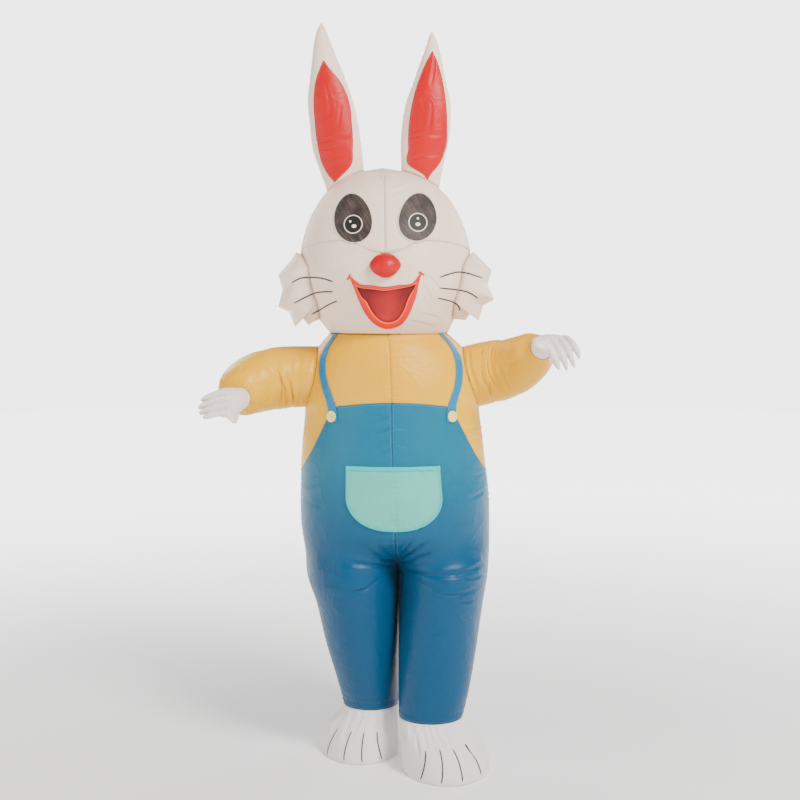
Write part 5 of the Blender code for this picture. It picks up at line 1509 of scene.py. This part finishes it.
@dataclass
class Sleeves:
    """Full sleeves from the armholes to gathered cuffs. The folds' map is as wide as the mean radius times the turn."""

    rows: int = 112
    turns: int = 104
    width: float = 0.1
    paths: dict[Side, Table] = per_side(
        in_mm("along x y z radius", (
            (0, 240, 0, 1268, 101), (250, 310, -12, 1280, 102), (450, 362, -50, 1296, 94),
            (650, 402, -105, 1322, 82), (850, 428, -165, 1348, 62), (940, 436, -192, 1358, 44),
            (1000, 441, -210, 1364, 38.5),
        )),
        in_mm("along x y z radius", (
            (0, -290, 0, 1264, 100), (250, -374, -6, 1259, 102), (450, -440, -34, 1252, 100),
            (650, -489, -88, 1232, 90), (850, -507, -150, 1212, 68), (940, -507, -180, 1206, 46),
            (1000, -505, -198, 1203, 38.5),
        )),
    )
    lengths: dict[Side, float] = per_side(0.31, 0.33)
    folds: dict[Side, Folds] = per_side(
        Folds((
            (100, 30, -60, 34, 6, 8, 4.2), (80, 78, -70, 70, -6, 10, 5), (40, 112, -90, 126, 6, 8, 3.6),
            (-80, 60, -20, 110, 6, 8, 4), (-100, 150, -10, 170, 6, 9, 3.6), (110, 170, 10, 150, 4, 8, 3),
            (300, 80, 420, 86, 6, 9, 4), (290, 140, 400, 150, 4, 8, 3.4), (180, 50, 260, 56, 4, 8, 2.6),
            (20, 262, 10, 210, 2, 6, 3), (70, 262, 50, 216, 2, 6, 3), (-50, 262, -30, 200, 2, 6, 3.4),
            (150, 262, 140, 216, 2, 6, 3), (250, 262, 270, 206, 2, 6, 3), (340, 262, 320, 212, 2, 6, 3),
        ), 2 * np.pi * 0.1),
        Folds((
            (110, 20, -40, 26, 4, 7, 2.6), (120, 52, -30, 60, 6, 8, 3.4), (-100, 70, 30, 110, -8, 10, 5.6),
            (-110, 96, 10, 140, -6, 9, 5.2), (-60, 132, 60, 156, -6, 9, 4.4), (-110, 50, -10, 40, 6, 8, 3.6),
            (20, 180, 100, 190, 4, 9, 3), (300, 90, 430, 100, 6, 10, 4.4), (290, 150, 390, 156, 4, 8, 3.4),
            (180, 60, 280, 66, 4, 8, 2.6), (20, 282, 12, 220, 2, 6, 3.4), (80, 282, 60, 230, 2, 6, 3),
            (-50, 282, -40, 216, 2, 6, 3.4), (150, 282, 130, 226, 2, 6, 3), (250, 282, 260, 220, 2, 6, 3),
            (340, 282, 330, 224, 2, 6, 3),
        ), 2 * np.pi * 0.1),
    )

    @staticmethod
    def fullness(along: Array, turn: Array) -> Array:
        """Share of the radius: two soft hollows across the elbow and six gathers at the cuff."""
        elbow = 0.035 * bell((along - 0.42) / 0.05) * (0.6 + 0.4 * np.cos(turn - 0.6))
        second = 0.030 * bell((along - 0.22) / 0.035) * (0.5 + 0.5 * np.cos(turn + 2.2))
        drawn = smooth_step((along - 0.80) / 0.15) * smooth_step((1 - along) / 0.06)
        gathers = drawn * (0.026 * np.cos(6 * turn) + 0.014 * np.cos(17 * turn + 1.3 * np.sin(4 * turn)))
        return 1 - elbow - second + gathers

    def surface(self, side: Side) -> Surface:
        """Smooth tube along the arm's path, that starts as the armhole ring."""
        table = self.paths[side]

        def place(along: Array, turn: Array) -> Array:
            """Point at a share of the arm's length and an angle round the tube."""
            centre, way = on_path(table, along, 0.01)
            across = unit(np.cross(way, np.array([0.0, 0.0, 1.0])))
            above = np.cross(across, way)
            radius = table.at("radius", along) * self.fullness(along, turn)
            tube = np.cos(turn)[..., None] * across * side.value + np.sin(turn)[..., None] * above
            part = smooth_step(along / 0.22)[..., None]
            ring = armhole_ring(side.value, turn, -LIE_GAP, LIE_GAP)
            return ring * (1 - part) + (centre + radius[..., None] * tube) * part

        return place

    def build(self, shop: Workshop) -> None:
        """Both sleeves."""
        for side in Side:
            length = self.lengths[side]
            along, turn = grid(np.linspace(0, 1, self.rows), np.arange(self.turns) * 2 * np.pi / self.turns)
            u, v = turn * self.width, along * length
            under = np.abs(np.mod(turn - 1.5 * np.pi + np.pi, 2 * np.pi) - np.pi) * self.width
            depth = self.folds[side].depth(u, v)
            depth += seam_depth(under, v, 2.3 + side.value, 0.020)
            depth += seam_depth(v, u, 4.1 + side.value, 0.035, 0.0016) * smooth_step(v / 0.010)
            depth += 0.0012 * np.sin(29 * v + 3 * np.sin(turn)) * np.sin(3 * turn + 17 * v)
            depth += 0.0012 * bell((length * 0.965 - v) / 0.003)
            depth *= smooth_step(v / 0.012) * smooth_step((length - v) / 0.004)
            points = lifted(self.surface(side), along, turn, lambda points: depth, 0.0)
            label, nodes = f"sleeve_cloth_{side.word}", [f"sleeve_{side.word}"]
            shop.cloth(label, points, Finish.YELLOW, nodes, ring_middle(points), "gathered", loop=True)


@dataclass
class Dungarees:
    """Bib dungarees: four panels from hem to bib, the pocket, and its binding."""

    rows: dict[Face, int] = field(default_factory=lambda: {Face.FRONT: 250, Face.BACK: 150})
    columns: dict[Face, int] = field(default_factory=lambda: {Face.FRONT: 100, Face.BACK: 60})
    fan: tuple[float, float, float] = (0.130, 0.905, 0.0536)
    pocket: dict[str, float] = field(default_factory=lambda: {
        "half_angle": 29.0, "top": 0.995, "straight": 0.900, "bottom": 0.792,
    })
    mouth_band: float = 0.015
    edge_band: float = 0.006
    trunk_radius: float = 0.27
    binding_rise: float = 0.0010

    def relief(self, points: Array, face: int) -> Array:
        """Depth of a panel's folds and of its turned hem."""
        x, y, z = np.moveaxis(points, -1, 0)
        hem = seam_depth(z - HEM_HEIGHT - 0.024, x + y, 2.0 + face, 0.018, 0.0007)
        hem = hem * smooth_step((z - HEM_HEIGHT) / 0.01)
        roll = 0.0016 * bell((z - HEM_HEIGHT) / 0.006)
        return body_relief(points, face) + hem + roll

    def fan_hole(self, points: Array) -> Hole:
        """Round hole for the fan's barrel: points near its axis, and its rim on the panel."""
        x0, height, radius = self.fan
        angle = -np.arccos((x0 - TRUNK.at("middle", np.array(height))) / TRUNK.at("half_width", np.array(height)))
        centre, way, across, above = trunk_axes(angle, height, 0.0)
        away = points - centre
        near = np.abs(away @ way) < 0.06
        inside = near & (np.hypot(away @ across, away @ above) < radius)
        turn = np.linspace(0, 2 * np.pi, 240, endpoint=False)[:, None]
        ring = centre + radius * (np.cos(turn) * across + np.sin(turn) * above)
        reach = (ring[:, 0] - TRUNK.at("middle", ring[:, 2])) / TRUNK.at("half_width", ring[:, 2])
        return Hole(inside, trunk_skin(-np.arccos(np.clip(reach, -1, 1)), ring[:, 2], -1))

    def panel(self, shop: Workshop, side: Side, face: Face) -> None:
        """One leg's front or back with its half of the bib or back."""
        up, share = grid(np.linspace(0, 1, self.rows[face]), np.linspace(0, 1, self.columns[face]))
        edge = BIB_EDGE.at("height", share * 90) - SEAM_GAP / 2
        height = HEM_HEIGHT + (edge - HEM_HEIGHT) * up

        def base(share: Array, height: Array) -> Array:
            """Smooth surface of this panel."""
            return dungaree(side.value, face.value, share, height)

        sign = -side.value * face.value
        points = lifted(base, share, height, lambda points: self.relief(points, face.value), 0.0, sign)
        bound = 0.0012 * bell((edge - height) / 0.005) * smooth_step((edge - height + 0.002) / 0.002)
        points = points + lifted(base, share, height, lambda points: 0 * share, bound, sign) - base(share, height)
        points = points + hair(side, face)
        name = f"dungarees_{face.word}_{side.word}"
        hole = self.fan_hole(points) if name == "dungarees_back_left" else None
        centre = base(0.5 + 0 * share, height) * [1, 0, 1]
        centre[..., 1] = base(0 * share, height)[..., 1]
        shop.cloth(f"denim_{face.word}_{side.word}", points, Finish.BLUE, [name], centre, hole=hole)

    def pocket_low(self, angle: Array) -> Array:
        """Height of the pocket's lower edge: a rounded curve between the upright sides."""
        reach = np.clip(np.abs(angle - QUARTER) / np.radians(self.pocket["half_angle"]), 0, 1)
        drop = self.pocket["straight"] - self.pocket["bottom"]
        return self.pocket["bottom"] + drop * (1 - np.sqrt(1 - reach**2.4))

    def patch(self, shop: Workshop) -> None:
        """Pocket laid on the bib, and the binding that follows its edge."""
        half = np.radians(self.pocket["half_angle"])
        lean = np.sin(np.linspace(-QUARTER, QUARTER, 72))
        up, angle = grid(np.linspace(0, 1, 56), QUARTER + half * lean)
        low = self.pocket_low(angle)
        height = low + (self.pocket["top"] - low) * up
        points = trunk_skin(angle, height, 1, LIE_GAP + APPLIQUE)
        shop.cloth("pocket_cloth", points, Finish.TEAL, ["pocket"], trunk_core(points), "laid")
        inset, place = grid(np.linspace(0, 1, 7), np.arange(240))
        trim = inset * self.edge_band
        across = half - trim / self.trunk_radius
        below = place < 170
        turn = np.pi * (1 - place / 169)
        sweep = (205 - place) / 35
        reach = np.where(below, np.cos(turn), np.clip(sweep, -1, 1))
        angles = QUARTER + across * reach
        foot = self.pocket["bottom"] + trim
        curve = foot + (self.pocket["straight"] - foot) * (1 - np.sqrt(np.clip(1 - np.abs(reach) ** 2.4, 0, 1)))
        heights = np.where(below, curve, self.pocket["top"] - inset * self.mouth_band)
        crown = 1 - (2 * inset - 1) ** 2
        points = trunk_skin(angles, heights, 1, LIE_GAP + APPLIQUE + self.binding_rise * (1 + crown))
        shop.cloth("pocket_edge", points, Finish.BINDING, ["pocket_binding"], trunk_core(points), "laid", loop=True)

    def build(self, shop: Workshop) -> None:
        """All panels and the pocket."""
        for side in Side:
            for face in Face:
                self.panel(shop, side, face)
        self.patch(shop)


@dataclass
class Straps:
    """Shoulder straps of the dungarees, front and back, with a button at each front end."""

    width: float = 0.036
    path: Table = field(default_factory=lambda: Table("along angle height", (
        (0, 50, 1.128), (0.15, 47.5, 1.19), (0.3, 40, 1.262), (0.42, 34, 1.318), (0.52, 31, 1.362), (0.6, 30, 1.39),
        (0.64, 29.5, 1.4034),
    )))
    button: tuple[float, float, float, float] = (0.018, 0.005, 49.0, 1.146)

    def strap(self, shop: Workshop, side: Side, face: Face) -> None:
        """One strap: its middle line follows the path, its edges lie square to it on the trunk."""
        along = np.linspace(0, 0.64, 90)
        angle, height = np.radians(self.path.at("angle", along)), self.path.at("height", along)
        up = unit(np.gradient(trunk(angle, height), axis=0))
        across = TRUNK.at("half_width", height) * np.sin(angle)
        radius = np.hypot(across, TRUNK.at("front", height) * np.cos(angle))
        half = self.width / 2 / radius * np.clip(up[:, 2], 0.6, 1)
        shift = np.linspace(-1, 1, 11)
        angles = angle[:, None] + half[:, None] * shift
        heights = height[:, None] + 0 * shift
        ripple = 0.0004 * np.sin(along * 90 + side.value)[:, None] * (1 - shift**2)
        points = trunk_skin(side.seen(angles, face), heights, face.value, LIE_GAP + 0.0004 + 0.0012 + ripple)
        name = f"strap_{face.word}_{side.word}"
        shop.cloth(f"{name}_cloth", points, Finish.STRAP, [name], trunk_core(points), "laid", thick=0.0010)

    def cap(self, shop: Workshop, side: Side) -> None:
        """Button: a turned disc with a raised rim, a dished middle and four thread holes."""
        radius, thick, degrees, height = self.button
        angle = np.radians(degrees)
        lift = LIE_GAP + 0.0004 + APPLIQUE + 0.0004
        place, way, across, above = trunk_axes(side.seen(angle), height, lift)
        profile = Table("step radius rise", (
            (0, 0, 0.62), (1, 0.35, 0.62), (2, 0.6, 0.66), (3, 0.72, 0.92), (4, 0.84, 1), (5, 0.96, 0.78),
            (6, 1, 0.42), (7, 0.93, 0.04), (8, 0.5, 0), (9, 0, 0),
        ))
        step, turn = grid(np.linspace(0, 9, 30), np.arange(48) * np.pi / 24)
        ring = np.clip(profile.at("radius", step), 0, 1) * radius
        ring[[0, -1]] = 0.0
        x, y = ring * np.cos(turn), ring * np.sin(turn)
        rise = profile.at("rise", step) * thick
        holes = sum(bell(np.hypot(x - a, y - b) / 0.0015) for a in (-0.0034, 0.0034) for b in (-0.0034, 0.0034))
        rise = rise - 0.0022 * holes * (step < 3)
        points = place + x[..., None] * across + y[..., None] * above + rise[..., None] * way
        name = f"button_front_{side.word}"
        middle = place + way * thick / 2
        cap = shop.cloth(f"button_cap_{side.word}", points, Finish.BUTTON, [name], middle, None, loop=True)
        cap.modifiers.clear()

    def build(self, shop: Workshop) -> None:
        """All straps and buttons."""
        for side in Side:
            for face in Face:
                self.strap(shop, side, face)
            self.cap(shop, side)


@dataclass
class ShoeCovers:
    """White covers that spread from the hems to the floor, with four dark toe lines each."""

    rows: int = 74
    turns: int = 150
    map_radius: float = 0.15
    places: dict[Side, tuple[float, ...]] = per_side(
        (0.148, -0.136, 0.143, 0.176),
        (-0.130, 0.034, 0.135, 0.168),
    )
    rings: Table = field(default_factory=lambda: Table("height spread", (
        (0.0015, 1), (0.02, 1.01), (0.048, 0.93), (0.08, 0.74), (0.11, 0.44), (0.134, 0.16), (0.156, 0.02),
        (0.1677, 0),
    )))
    toes: dict[Side, tuple] = per_side(
        ((126, 0.010, 111, 0.100), (98, 0.010, 90, 0.104), (71, 0.012, 71, 0.104), (42, 0.016, 46, 0.108)),
        ((144, 0.010, 141, 0.100), (113, 0.010, 112, 0.104), (87, 0.010, 91, 0.104), (59, 0.012, 70, 0.102)),
    )
    folds: dict[Side, Folds] = per_side(
        Folds((
            (300, 150, 330, 70, 6, 10, 5), (220, 152, 200, 80, 6, 9, 4.2), (140, 150, 100, 60, 6, 10, 5),
            (50, 148, 30, 70, 4, 9, 4), (-60, 150, -80, 60, 6, 10, 4.6), (420, 148, 450, 60, 6, 10, 4.6),
            (560, 150, 550, 60, 6, 10, 4.6), (680, 150, 700, 60, 6, 10, 4.6), (800, 150, 790, 60, 6, 10, 4.6),
        ), 2 * np.pi * 0.15),
        Folds((
            (340, 150, 300, 66, 6, 10, 5.6), (260, 152, 340, 104, -4, 9, 5), (190, 150, 150, 80, 6, 9, 4),
            (120, 150, 140, 70, 4, 9, 4), (30, 148, 50, 60, 6, 10, 4.6), (440, 148, 420, 60, 6, 10, 4.6),
            (550, 150, 570, 60, 6, 10, 4.6), (670, 150, 650, 60, 6, 10, 4.6), (810, 150, 830, 60, 6, 10, 4.6),
        ), 2 * np.pi * 0.15),
    )

    def surface(self, side: Side) -> Surface:
        """Smooth cover: the hem's oval above, spread to the foot's oval below, kept to its own side."""
        foot_x, foot_y, half_width, half_length = self.places[side]
        sign = side.value

        def place(turn: Array, height: Array) -> Array:
            """Point at an angle round the cover and a height."""
            part = self.rings.at("spread", height)
            hem = np.full(np.shape(height), HEM_HEIGHT)
            inner = TRUNK.at("middle", height) + sign * 0.0008
            outer = sign * LEG.at(f"outer_{side.word}", hem)
            waves = np.sin(np.pi * np.clip(part, 0, 1)) ** 0.7
            folds = 1 + 0.022 * np.cos(9 * turn + sign) * waves
            x = ((inner + outer) / 2 + np.abs(outer - inner) / 2 * np.cos(turn)) * (1 - part)
            x = x + (foot_x + half_width * folds * np.cos(turn)) * part
            y = (STEP_FORWARD.at(side.word, hem) - LEG.at("front_back", hem) * np.sin(turn)) * (1 - part)
            y = y + (foot_y - half_length * folds * np.sin(turn)) * part
            inside = TRUNK.at("middle", height) + sign * 0.0015
            x = np.where(sign * (x - inside) < 0, inside, x)
            return np.stack([x, y, height + 0 * turn], axis=-1)

        return place

    def skin(self, side: Side, turn: Array, height: Array, out: Array | float = 0.0) -> Array:
        """Cover with its folds and the gathers under the hem, lifted by out."""
        u = turn * self.map_radius
        depth = self.folds[side].depth(u, height)
        top = self.rings.key[-1]
        gather = smooth_step((height - 0.075) / 0.05) * smooth_step((top - height) / 0.012)
        depth += 0.0026 * np.sin(23 * turn + 2.5 * np.sin(4 * turn)) * gather
        depth += 0.0012 * np.sin(41 * turn + 60 * height) * gather
        depth += 0.0014 * np.sin(5 * turn + 30 * height + side.value) * smooth_step(height / 0.03)
        across = np.abs(self.surface(side)(turn, height)[..., 0] - TRUNK.at("middle", height))
        inner = smooth_step((across - 0.004) / 0.02)
        depth = depth * inner * smooth_step((top - height) / 0.01) * smooth_step((height - self.rings.key[0]) / 0.012)
        return lifted(self.surface(side), turn, height, lambda points: depth, out, -1)

    def build(self, shop: Workshop) -> None:
        """Both covers and their toe lines."""
        for side in Side:
            low, high = self.rings.key[0], self.rings.key[-1]
            height, turn = grid(
                low + (high - low) * np.linspace(0, 1, self.rows), np.arange(self.turns) * 2 * np.pi / self.turns
            )
            points = self.skin(side, turn, height)
            middle = ring_middle(points) * [1, 1, 0] + [0, 0, -0.2]
            lines = [
                ((np.radians(a) * self.map_radius, low_z), (np.radians(b) * self.map_radius, high_z))
                for a, low_z, b, high_z in self.toes[side]
            ]
            toes = shop.ribbons(
                f"toe_line_{side.word}", lines, lambda u, v, out: self.skin(side, u / self.map_radius, v, out),
                0.0044, Finish.LINE, np.array([*self.places[side][:2], -0.1]), 0.0010, 30,
            )
            name = f"shoe_cover_{side.word}"
            shop.cloth(
                f"foot_cloth_{side.word}", points, Finish.WHITE, [name], middle, "gathered", loop=True, with_pieces=toes
            )


@dataclass
class Gloves:
    """Satin gloves: one lobed tube for each hand, with a thumb and four fingers drawn in between."""

    rows: int = 66
    turns: int = 128
    hand: Table = field(default_factory=lambda: Table("place lobe reach", (
        (-1, 0, 0.86), (-0.83, 0.8, 0.95), (-0.67, 0.9, 0.96), (-0.5, 0.3, 0.83), (-0.33, 0.92, 1), (-0.17, 0.92, 1),
        (0, 0.3, 0.83), (0.17, 0.92, 0.98), (0.33, 0.92, 0.97), (0.5, 0.3, 0.77), (0.67, 0.9, 0.89),
        (0.83, 0.8, 0.87), (1, 0, 0.76),
    )))
    thumb: Table = field(default_factory=lambda: in_mm("along outward forward", (
        (280, 0, 0), (380, 20, 4), (470, 30, 12), (560, 12, 6), (700, 0, 0),
    )))
    paths: dict[Side, Table] = per_side(
        in_mm("along x y z half_width half_depth", (
            (0, 437, -190, 1356, 35.2, 35), (120, 441, -212, 1365, 35.2, 34.5), (280, 450, -246, 1380, 40, 25),
            (450, 464, -281, 1387, 46, 19), (580, 480, -306, 1379, 48, 16), (720, 494, -326, 1358, 48, 13),
            (860, 505, -338, 1332, 47, 11.5), (1000, 513, -346, 1304, 47, 11),
        )),
        in_mm("along x y z half_width half_depth", (
            (0, -506, -178, 1207, 35.2, 35), (120, -505, -202, 1203, 35.2, 34.5), (280, -514, -230, 1202, 40, 25),
            (450, -530, -254, 1200, 46, 19), (580, -550, -267, 1196, 47, 16), (720, -574, -275, 1190, 46, 13),
            (860, -597, -279, 1182, 45, 11.5), (1000, -618, -280, 1172, 45, 11),
        )),
    )
    across: dict[Side, tuple[float, float, float]] = per_side((1.0, 0.0, 0.05), (0.0, 0.62, 0.78))

    def points(self, side: Side) -> Array:
        """Grid over the back of the hand and round under the palm.

        The places round the tube run from the thumb's edge over the back to the little finger's edge, and
        home under the palm. Past the knuckles the half depth follows the lobes of the fingers, and each
        place runs out as far as its finger reaches.
        """
        round_place = np.arange(self.turns) * 24 / self.turns
        row, place = grid(np.linspace(0, 1, self.rows) ** 0.9, round_place)
        half = np.where(place <= 12, place, 24 - place)
        flat_place = -1 + half / 6
        split = smooth_step((row - 0.44) / 0.16)
        reach = self.hand.at("reach", flat_place)
        along = np.minimum(row, 0.56) + np.clip(row - 0.56, 0, None) * (reach - 0.56) / 0.44
        flat = smooth_step((row - 0.15) / 0.35)
        wide = -np.cos(np.pi * half / 12) * (1 - flat) + flat_place * flat
        palm = np.sqrt(np.clip(1 - wide**2, 0, 1))
        high = palm * (1 - split) + np.clip(self.hand.at("lobe", flat_place), 0, 1) * split
        high = high * np.sqrt(np.clip(1 - np.clip((row - 0.84) / 0.16, 0, 1) ** 2, 0, 1))
        table = self.paths[side]
        centre, way = on_path(table, along, 0.03)
        across = np.array(self.across[side]) + 0 * way
        across = unit(across - way * np.sum(across * way, axis=-1, keepdims=True))
        normal = np.cross(across, way)
        crease = 0.0009 * np.sin(row * 75 + 3 * np.sin(flat_place * 5)) * smooth_step((row - 0.05) / 0.1)
        crease = crease * smooth_step((0.95 - row) / 0.1)
        depth = high * table.at("half_depth", along) + crease * palm
        depth = depth * np.where(place > 12, -1.0, 1.0)
        near = np.maximum(0, -flat_place - 0.6) / 0.4
        out = self.thumb.at("outward", row) * near
        width = wide * table.at("half_width", along) - out
        cuff = 1 + 0.05 * bell((row - 0.10) / 0.02)
        points = centre + (width * cuff)[..., None] * across + (depth * cuff)[..., None] * normal
        return points + (self.thumb.at("forward", row) * near)[..., None] * way

    def build(self, shop: Workshop) -> None:
        """Both gloves."""
        for side in Side:
            points = self.points(side)
            label, nodes = f"glove_satin_{side.word}", [f"glove_{side.word}"]
            shop.cloth(label, points, Finish.SATIN, nodes, ring_middle(points), loop=True, thick=0.0005)


@dataclass
class BackZip:
    """Zip down the centre back: tape and two rows of teeth."""

    low: float = 0.790
    high: float = 1.390
    width: float = 0.030
    pitch: float = 0.0050
    lift: float = LIE_GAP + 0.0010
    trunk_radius: float = 0.31
    tooth: tuple[float, float, float] = (0.0017, 0.0009, 0.0014)

    def build(self, shop: Workshop) -> None:
        """Tape and teeth."""
        half = self.width / 2 / self.trunk_radius
        height, angle = grid(np.linspace(self.low, self.high, 120), -QUARTER + half * np.linspace(-1, 1, 11))
        points = trunk_skin(angle, height, -1, self.lift)
        shop.cloth("zip_tape_cloth", points, Finish.TAPE, ["zip_tape"], trunk_core(points), "laid", thick=0.0008)
        self.teeth(shop)

    def teeth(self, shop: Workshop) -> None:
        """Teeth: small blocks in two rows, offset by half a pitch, each laid square on the tape."""
        rise = np.arange(self.low + 0.006, self.high - 0.034, self.pitch / 2)
        side = np.where(np.arange(len(rise)) % 2, 1.0, -1.0)
        place = trunk_skin(np.full(rise.shape, -QUARTER), rise, -1, self.lift)
        lean = np.stack([0 * rise, np.gradient(place[:, 1], rise), np.ones(len(rise))], axis=-1)
        up = unit(lean)
        out = np.cross(up, np.array([-1.0, 0, 0]))
        corner = np.array([[a, b, c] for c in (0, 1) for a, b in ((-1, -1), (1, -1), (1, 1), (-1, 1))], float)
        half_width, half_height, depth = self.tooth
        across = (corner[:, 0] * half_width)[None] + side[:, None] * half_height
        points = place[:, None] + across[..., None] * np.array([1.0, 0, 0])
        points = points + (corner[:, 1] * half_height)[None, :, None] * up[:, None]
        points = points + (corner[:, 2] * depth)[None, :, None] * out[:, None] - [0, 0, HOLD_HEIGHT]
        block = np.array([[0, 3, 2, 1], [4, 5, 6, 7], [0, 1, 5, 4], [1, 2, 6, 5], [2, 3, 7, 6], [3, 0, 4, 7]])
        faces = (block[None] + 8 * np.arange(len(rise))[:, None, None]).reshape(-1, 4)
        mesh = bpy.data.meshes.new("zip_teeth")
        mesh.from_pydata(points.reshape(-1, 3).tolist(), [], faces.tolist())
        mesh.update()
        work = bmesh.new()
        work.from_mesh(mesh)
        bmesh.ops.recalc_face_normals(work, faces=work.faces)
        work.to_mesh(mesh)
        work.free()
        teeth = shop.add("zip_teeth", mesh, Finish.METAL, [])
        mesh.polygons.foreach_set("use_smooth", np.zeros(len(mesh.polygons), bool))
        LOG.info("%s has %d teeth", teeth.name, len(rise))


@dataclass
class Fittings:
    """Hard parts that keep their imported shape: zip slider and pull, fan housing, guard and rotor."""

    finishes: dict[str, Finish] = field(default_factory=lambda: {
        "zip_slider": Finish.METAL,
        "zip_pull": Finish.METAL,
        "fan_housing": Finish.BLACK,
        "fan_guard": Finish.BLACK,
        "fan_rotor": Finish.BLACK,
    })

    def dress(self, shop: Workshop) -> None:
        """Gives each part its finish."""
        for name, finish in self.finishes.items():
            for slot in bpy.data.objects[name].material_slots:
                slot.material = shop.finishes[finish]
            LOG.info("fitting %s: %s", name, finish.value)


@dataclass
class Studio:
    """Pale floor, pale surround, four soft lamps, and the camera."""

    distance: float = 4.0
    eye_height: float = 1.5
    pitch: float = 4.515
    lens: float = 54.82
    lamps: tuple[tuple[str, tuple[float, float, float], float, float, Colour], ...] = (
        ("key_lamp", (2.4, -3.0, 2.9), 1.4, 400.0, (1.0, 0.97, 0.94, 1.0)),
        ("fill_lamp", (-3.4, -2.2, 0.9), 2.2, 70.0, (1.0, 0.96, 0.92, 1.0)),
        ("rim_lamp", (2.6, 2.4, 1.4), 1.8, 70.0, (0.90, 0.95, 1.0, 1.0)),
        ("back_lamp", (-2.4, 3.0, 1.8), 2.0, 90.0, (1.0, 0.98, 0.96, 1.0)),
    )
    light: float = 0.30
    backdrop: float = 4.0

    def floor(self) -> None:
        """Round pale floor with a soft mottle, that glows towards its rim and so meets the backdrop without an edge."""
        kit = Kit("studio_floor", Roughness=0.75, Emission_Strength=self.backdrop, Specular_IOR_Level=0.2)
        mottle = kit.noise(kit.place(), 1.2, 4.0)
        kit.dress(Base_Color=kit.blend(mottle, screen(246, 245, 244), screen(240, 239, 238)))
        x, y, _ = kit.axes(kit.place())
        far = ((x ** 2.0 + (y + 1.0) ** 2.0) ** 0.5).ramp(1.2, 7.0)
        kit.dress(Emission_Color=kit.blend(far, (0.065, 0.065, 0.065, 1.0), (0.97, 0.97, 0.97, 1.0)))
        kit.raise_surface(kit.noise(kit.place(), 300.0, 2.0) * 0.0001)
        work = bmesh.new()
        bmesh.ops.create_circle(work, cap_ends=True, segments=96, radius=14.0)
        bmesh.ops.translate(work, vec=(0, 0, -HOLD_HEIGHT), verts=work.verts)
        mesh = bpy.data.meshes.new("floor")
        work.to_mesh(mesh)
        work.free()
        mesh.materials.append(kit.material)
        put("floor", mesh)

    def surround(self) -> None:
        """Even pale light from all round, with a brighter backdrop behind the costume."""
        world = bpy.data.worlds.new("studio")
        world.use_nodes = True
        tree = world.node_tree
        background = tree.nodes["Background"]
        background.inputs["Color"].default_value = (1.0, 1.0, 1.0, 1.0)
        path = tree.nodes.new("ShaderNodeLightPath")
        span = tree.nodes.new("ShaderNodeMapRange")
        span.inputs["To Min"].default_value = self.light
        span.inputs["To Max"].default_value = self.backdrop
        tree.links.new(path.outputs["Is Camera Ray"], span.inputs["Value"])
        tree.links.new(span.outputs["Result"], background.inputs["Strength"])
        bpy.context.scene.world = world

    def build(self) -> None:
        """Floor, surround, lamps and camera."""
        self.floor()
        self.surround()
        for name, place, size, power, colour in self.lamps:
            lamp = bpy.data.lights.new(name, "AREA")
            lamp.size = size
            lamp.energy = power
            lamp.color = colour[:3]
            item = put(name, lamp)
            item.location = place
            way = np.array([0.0, 0.0, -0.1]) - np.array(place)
            flat = np.hypot(way[0], way[1])
            item.rotation_euler = (np.arctan2(flat, -way[2]), 0.0, np.arctan2(way[1], way[0]) - QUARTER)
        camera = bpy.data.cameras.new("camera")
        camera.lens = self.lens
        camera.sensor_width = 36.0
        item = put("camera", camera)
        item.location = (0.0, -self.distance, self.eye_height - HOLD_HEIGHT)
        item.rotation_euler = (np.radians(90 - self.pitch), 0.0, 0.0)
        bpy.context.scene.camera = item


def main() -> None:
    """Builds every sub-assembly in order."""
    logging.basicConfig(level=logging.INFO, format="%(name)s %(message)s")
    Studio().build()
    shop = Workshop()
    shell = HeadShell()
    muzzle = shell.build(shop)
    Ears().build(shop)
    tufts = CheekTufts().build(shop)
    for side in Side:
        shell.whisker_cords(shop, side, muzzle, tufts[side])
    YellowTop().build(shop)
    Sleeves().build(shop)
    Dungarees().build(shop)
    Straps().build(shop)
    ShoeCovers().build(shop)
    Gloves().build(shop)
    BackZip().build(shop)
    Fittings().dress(shop)


if __name__ == "__main__":
    main()
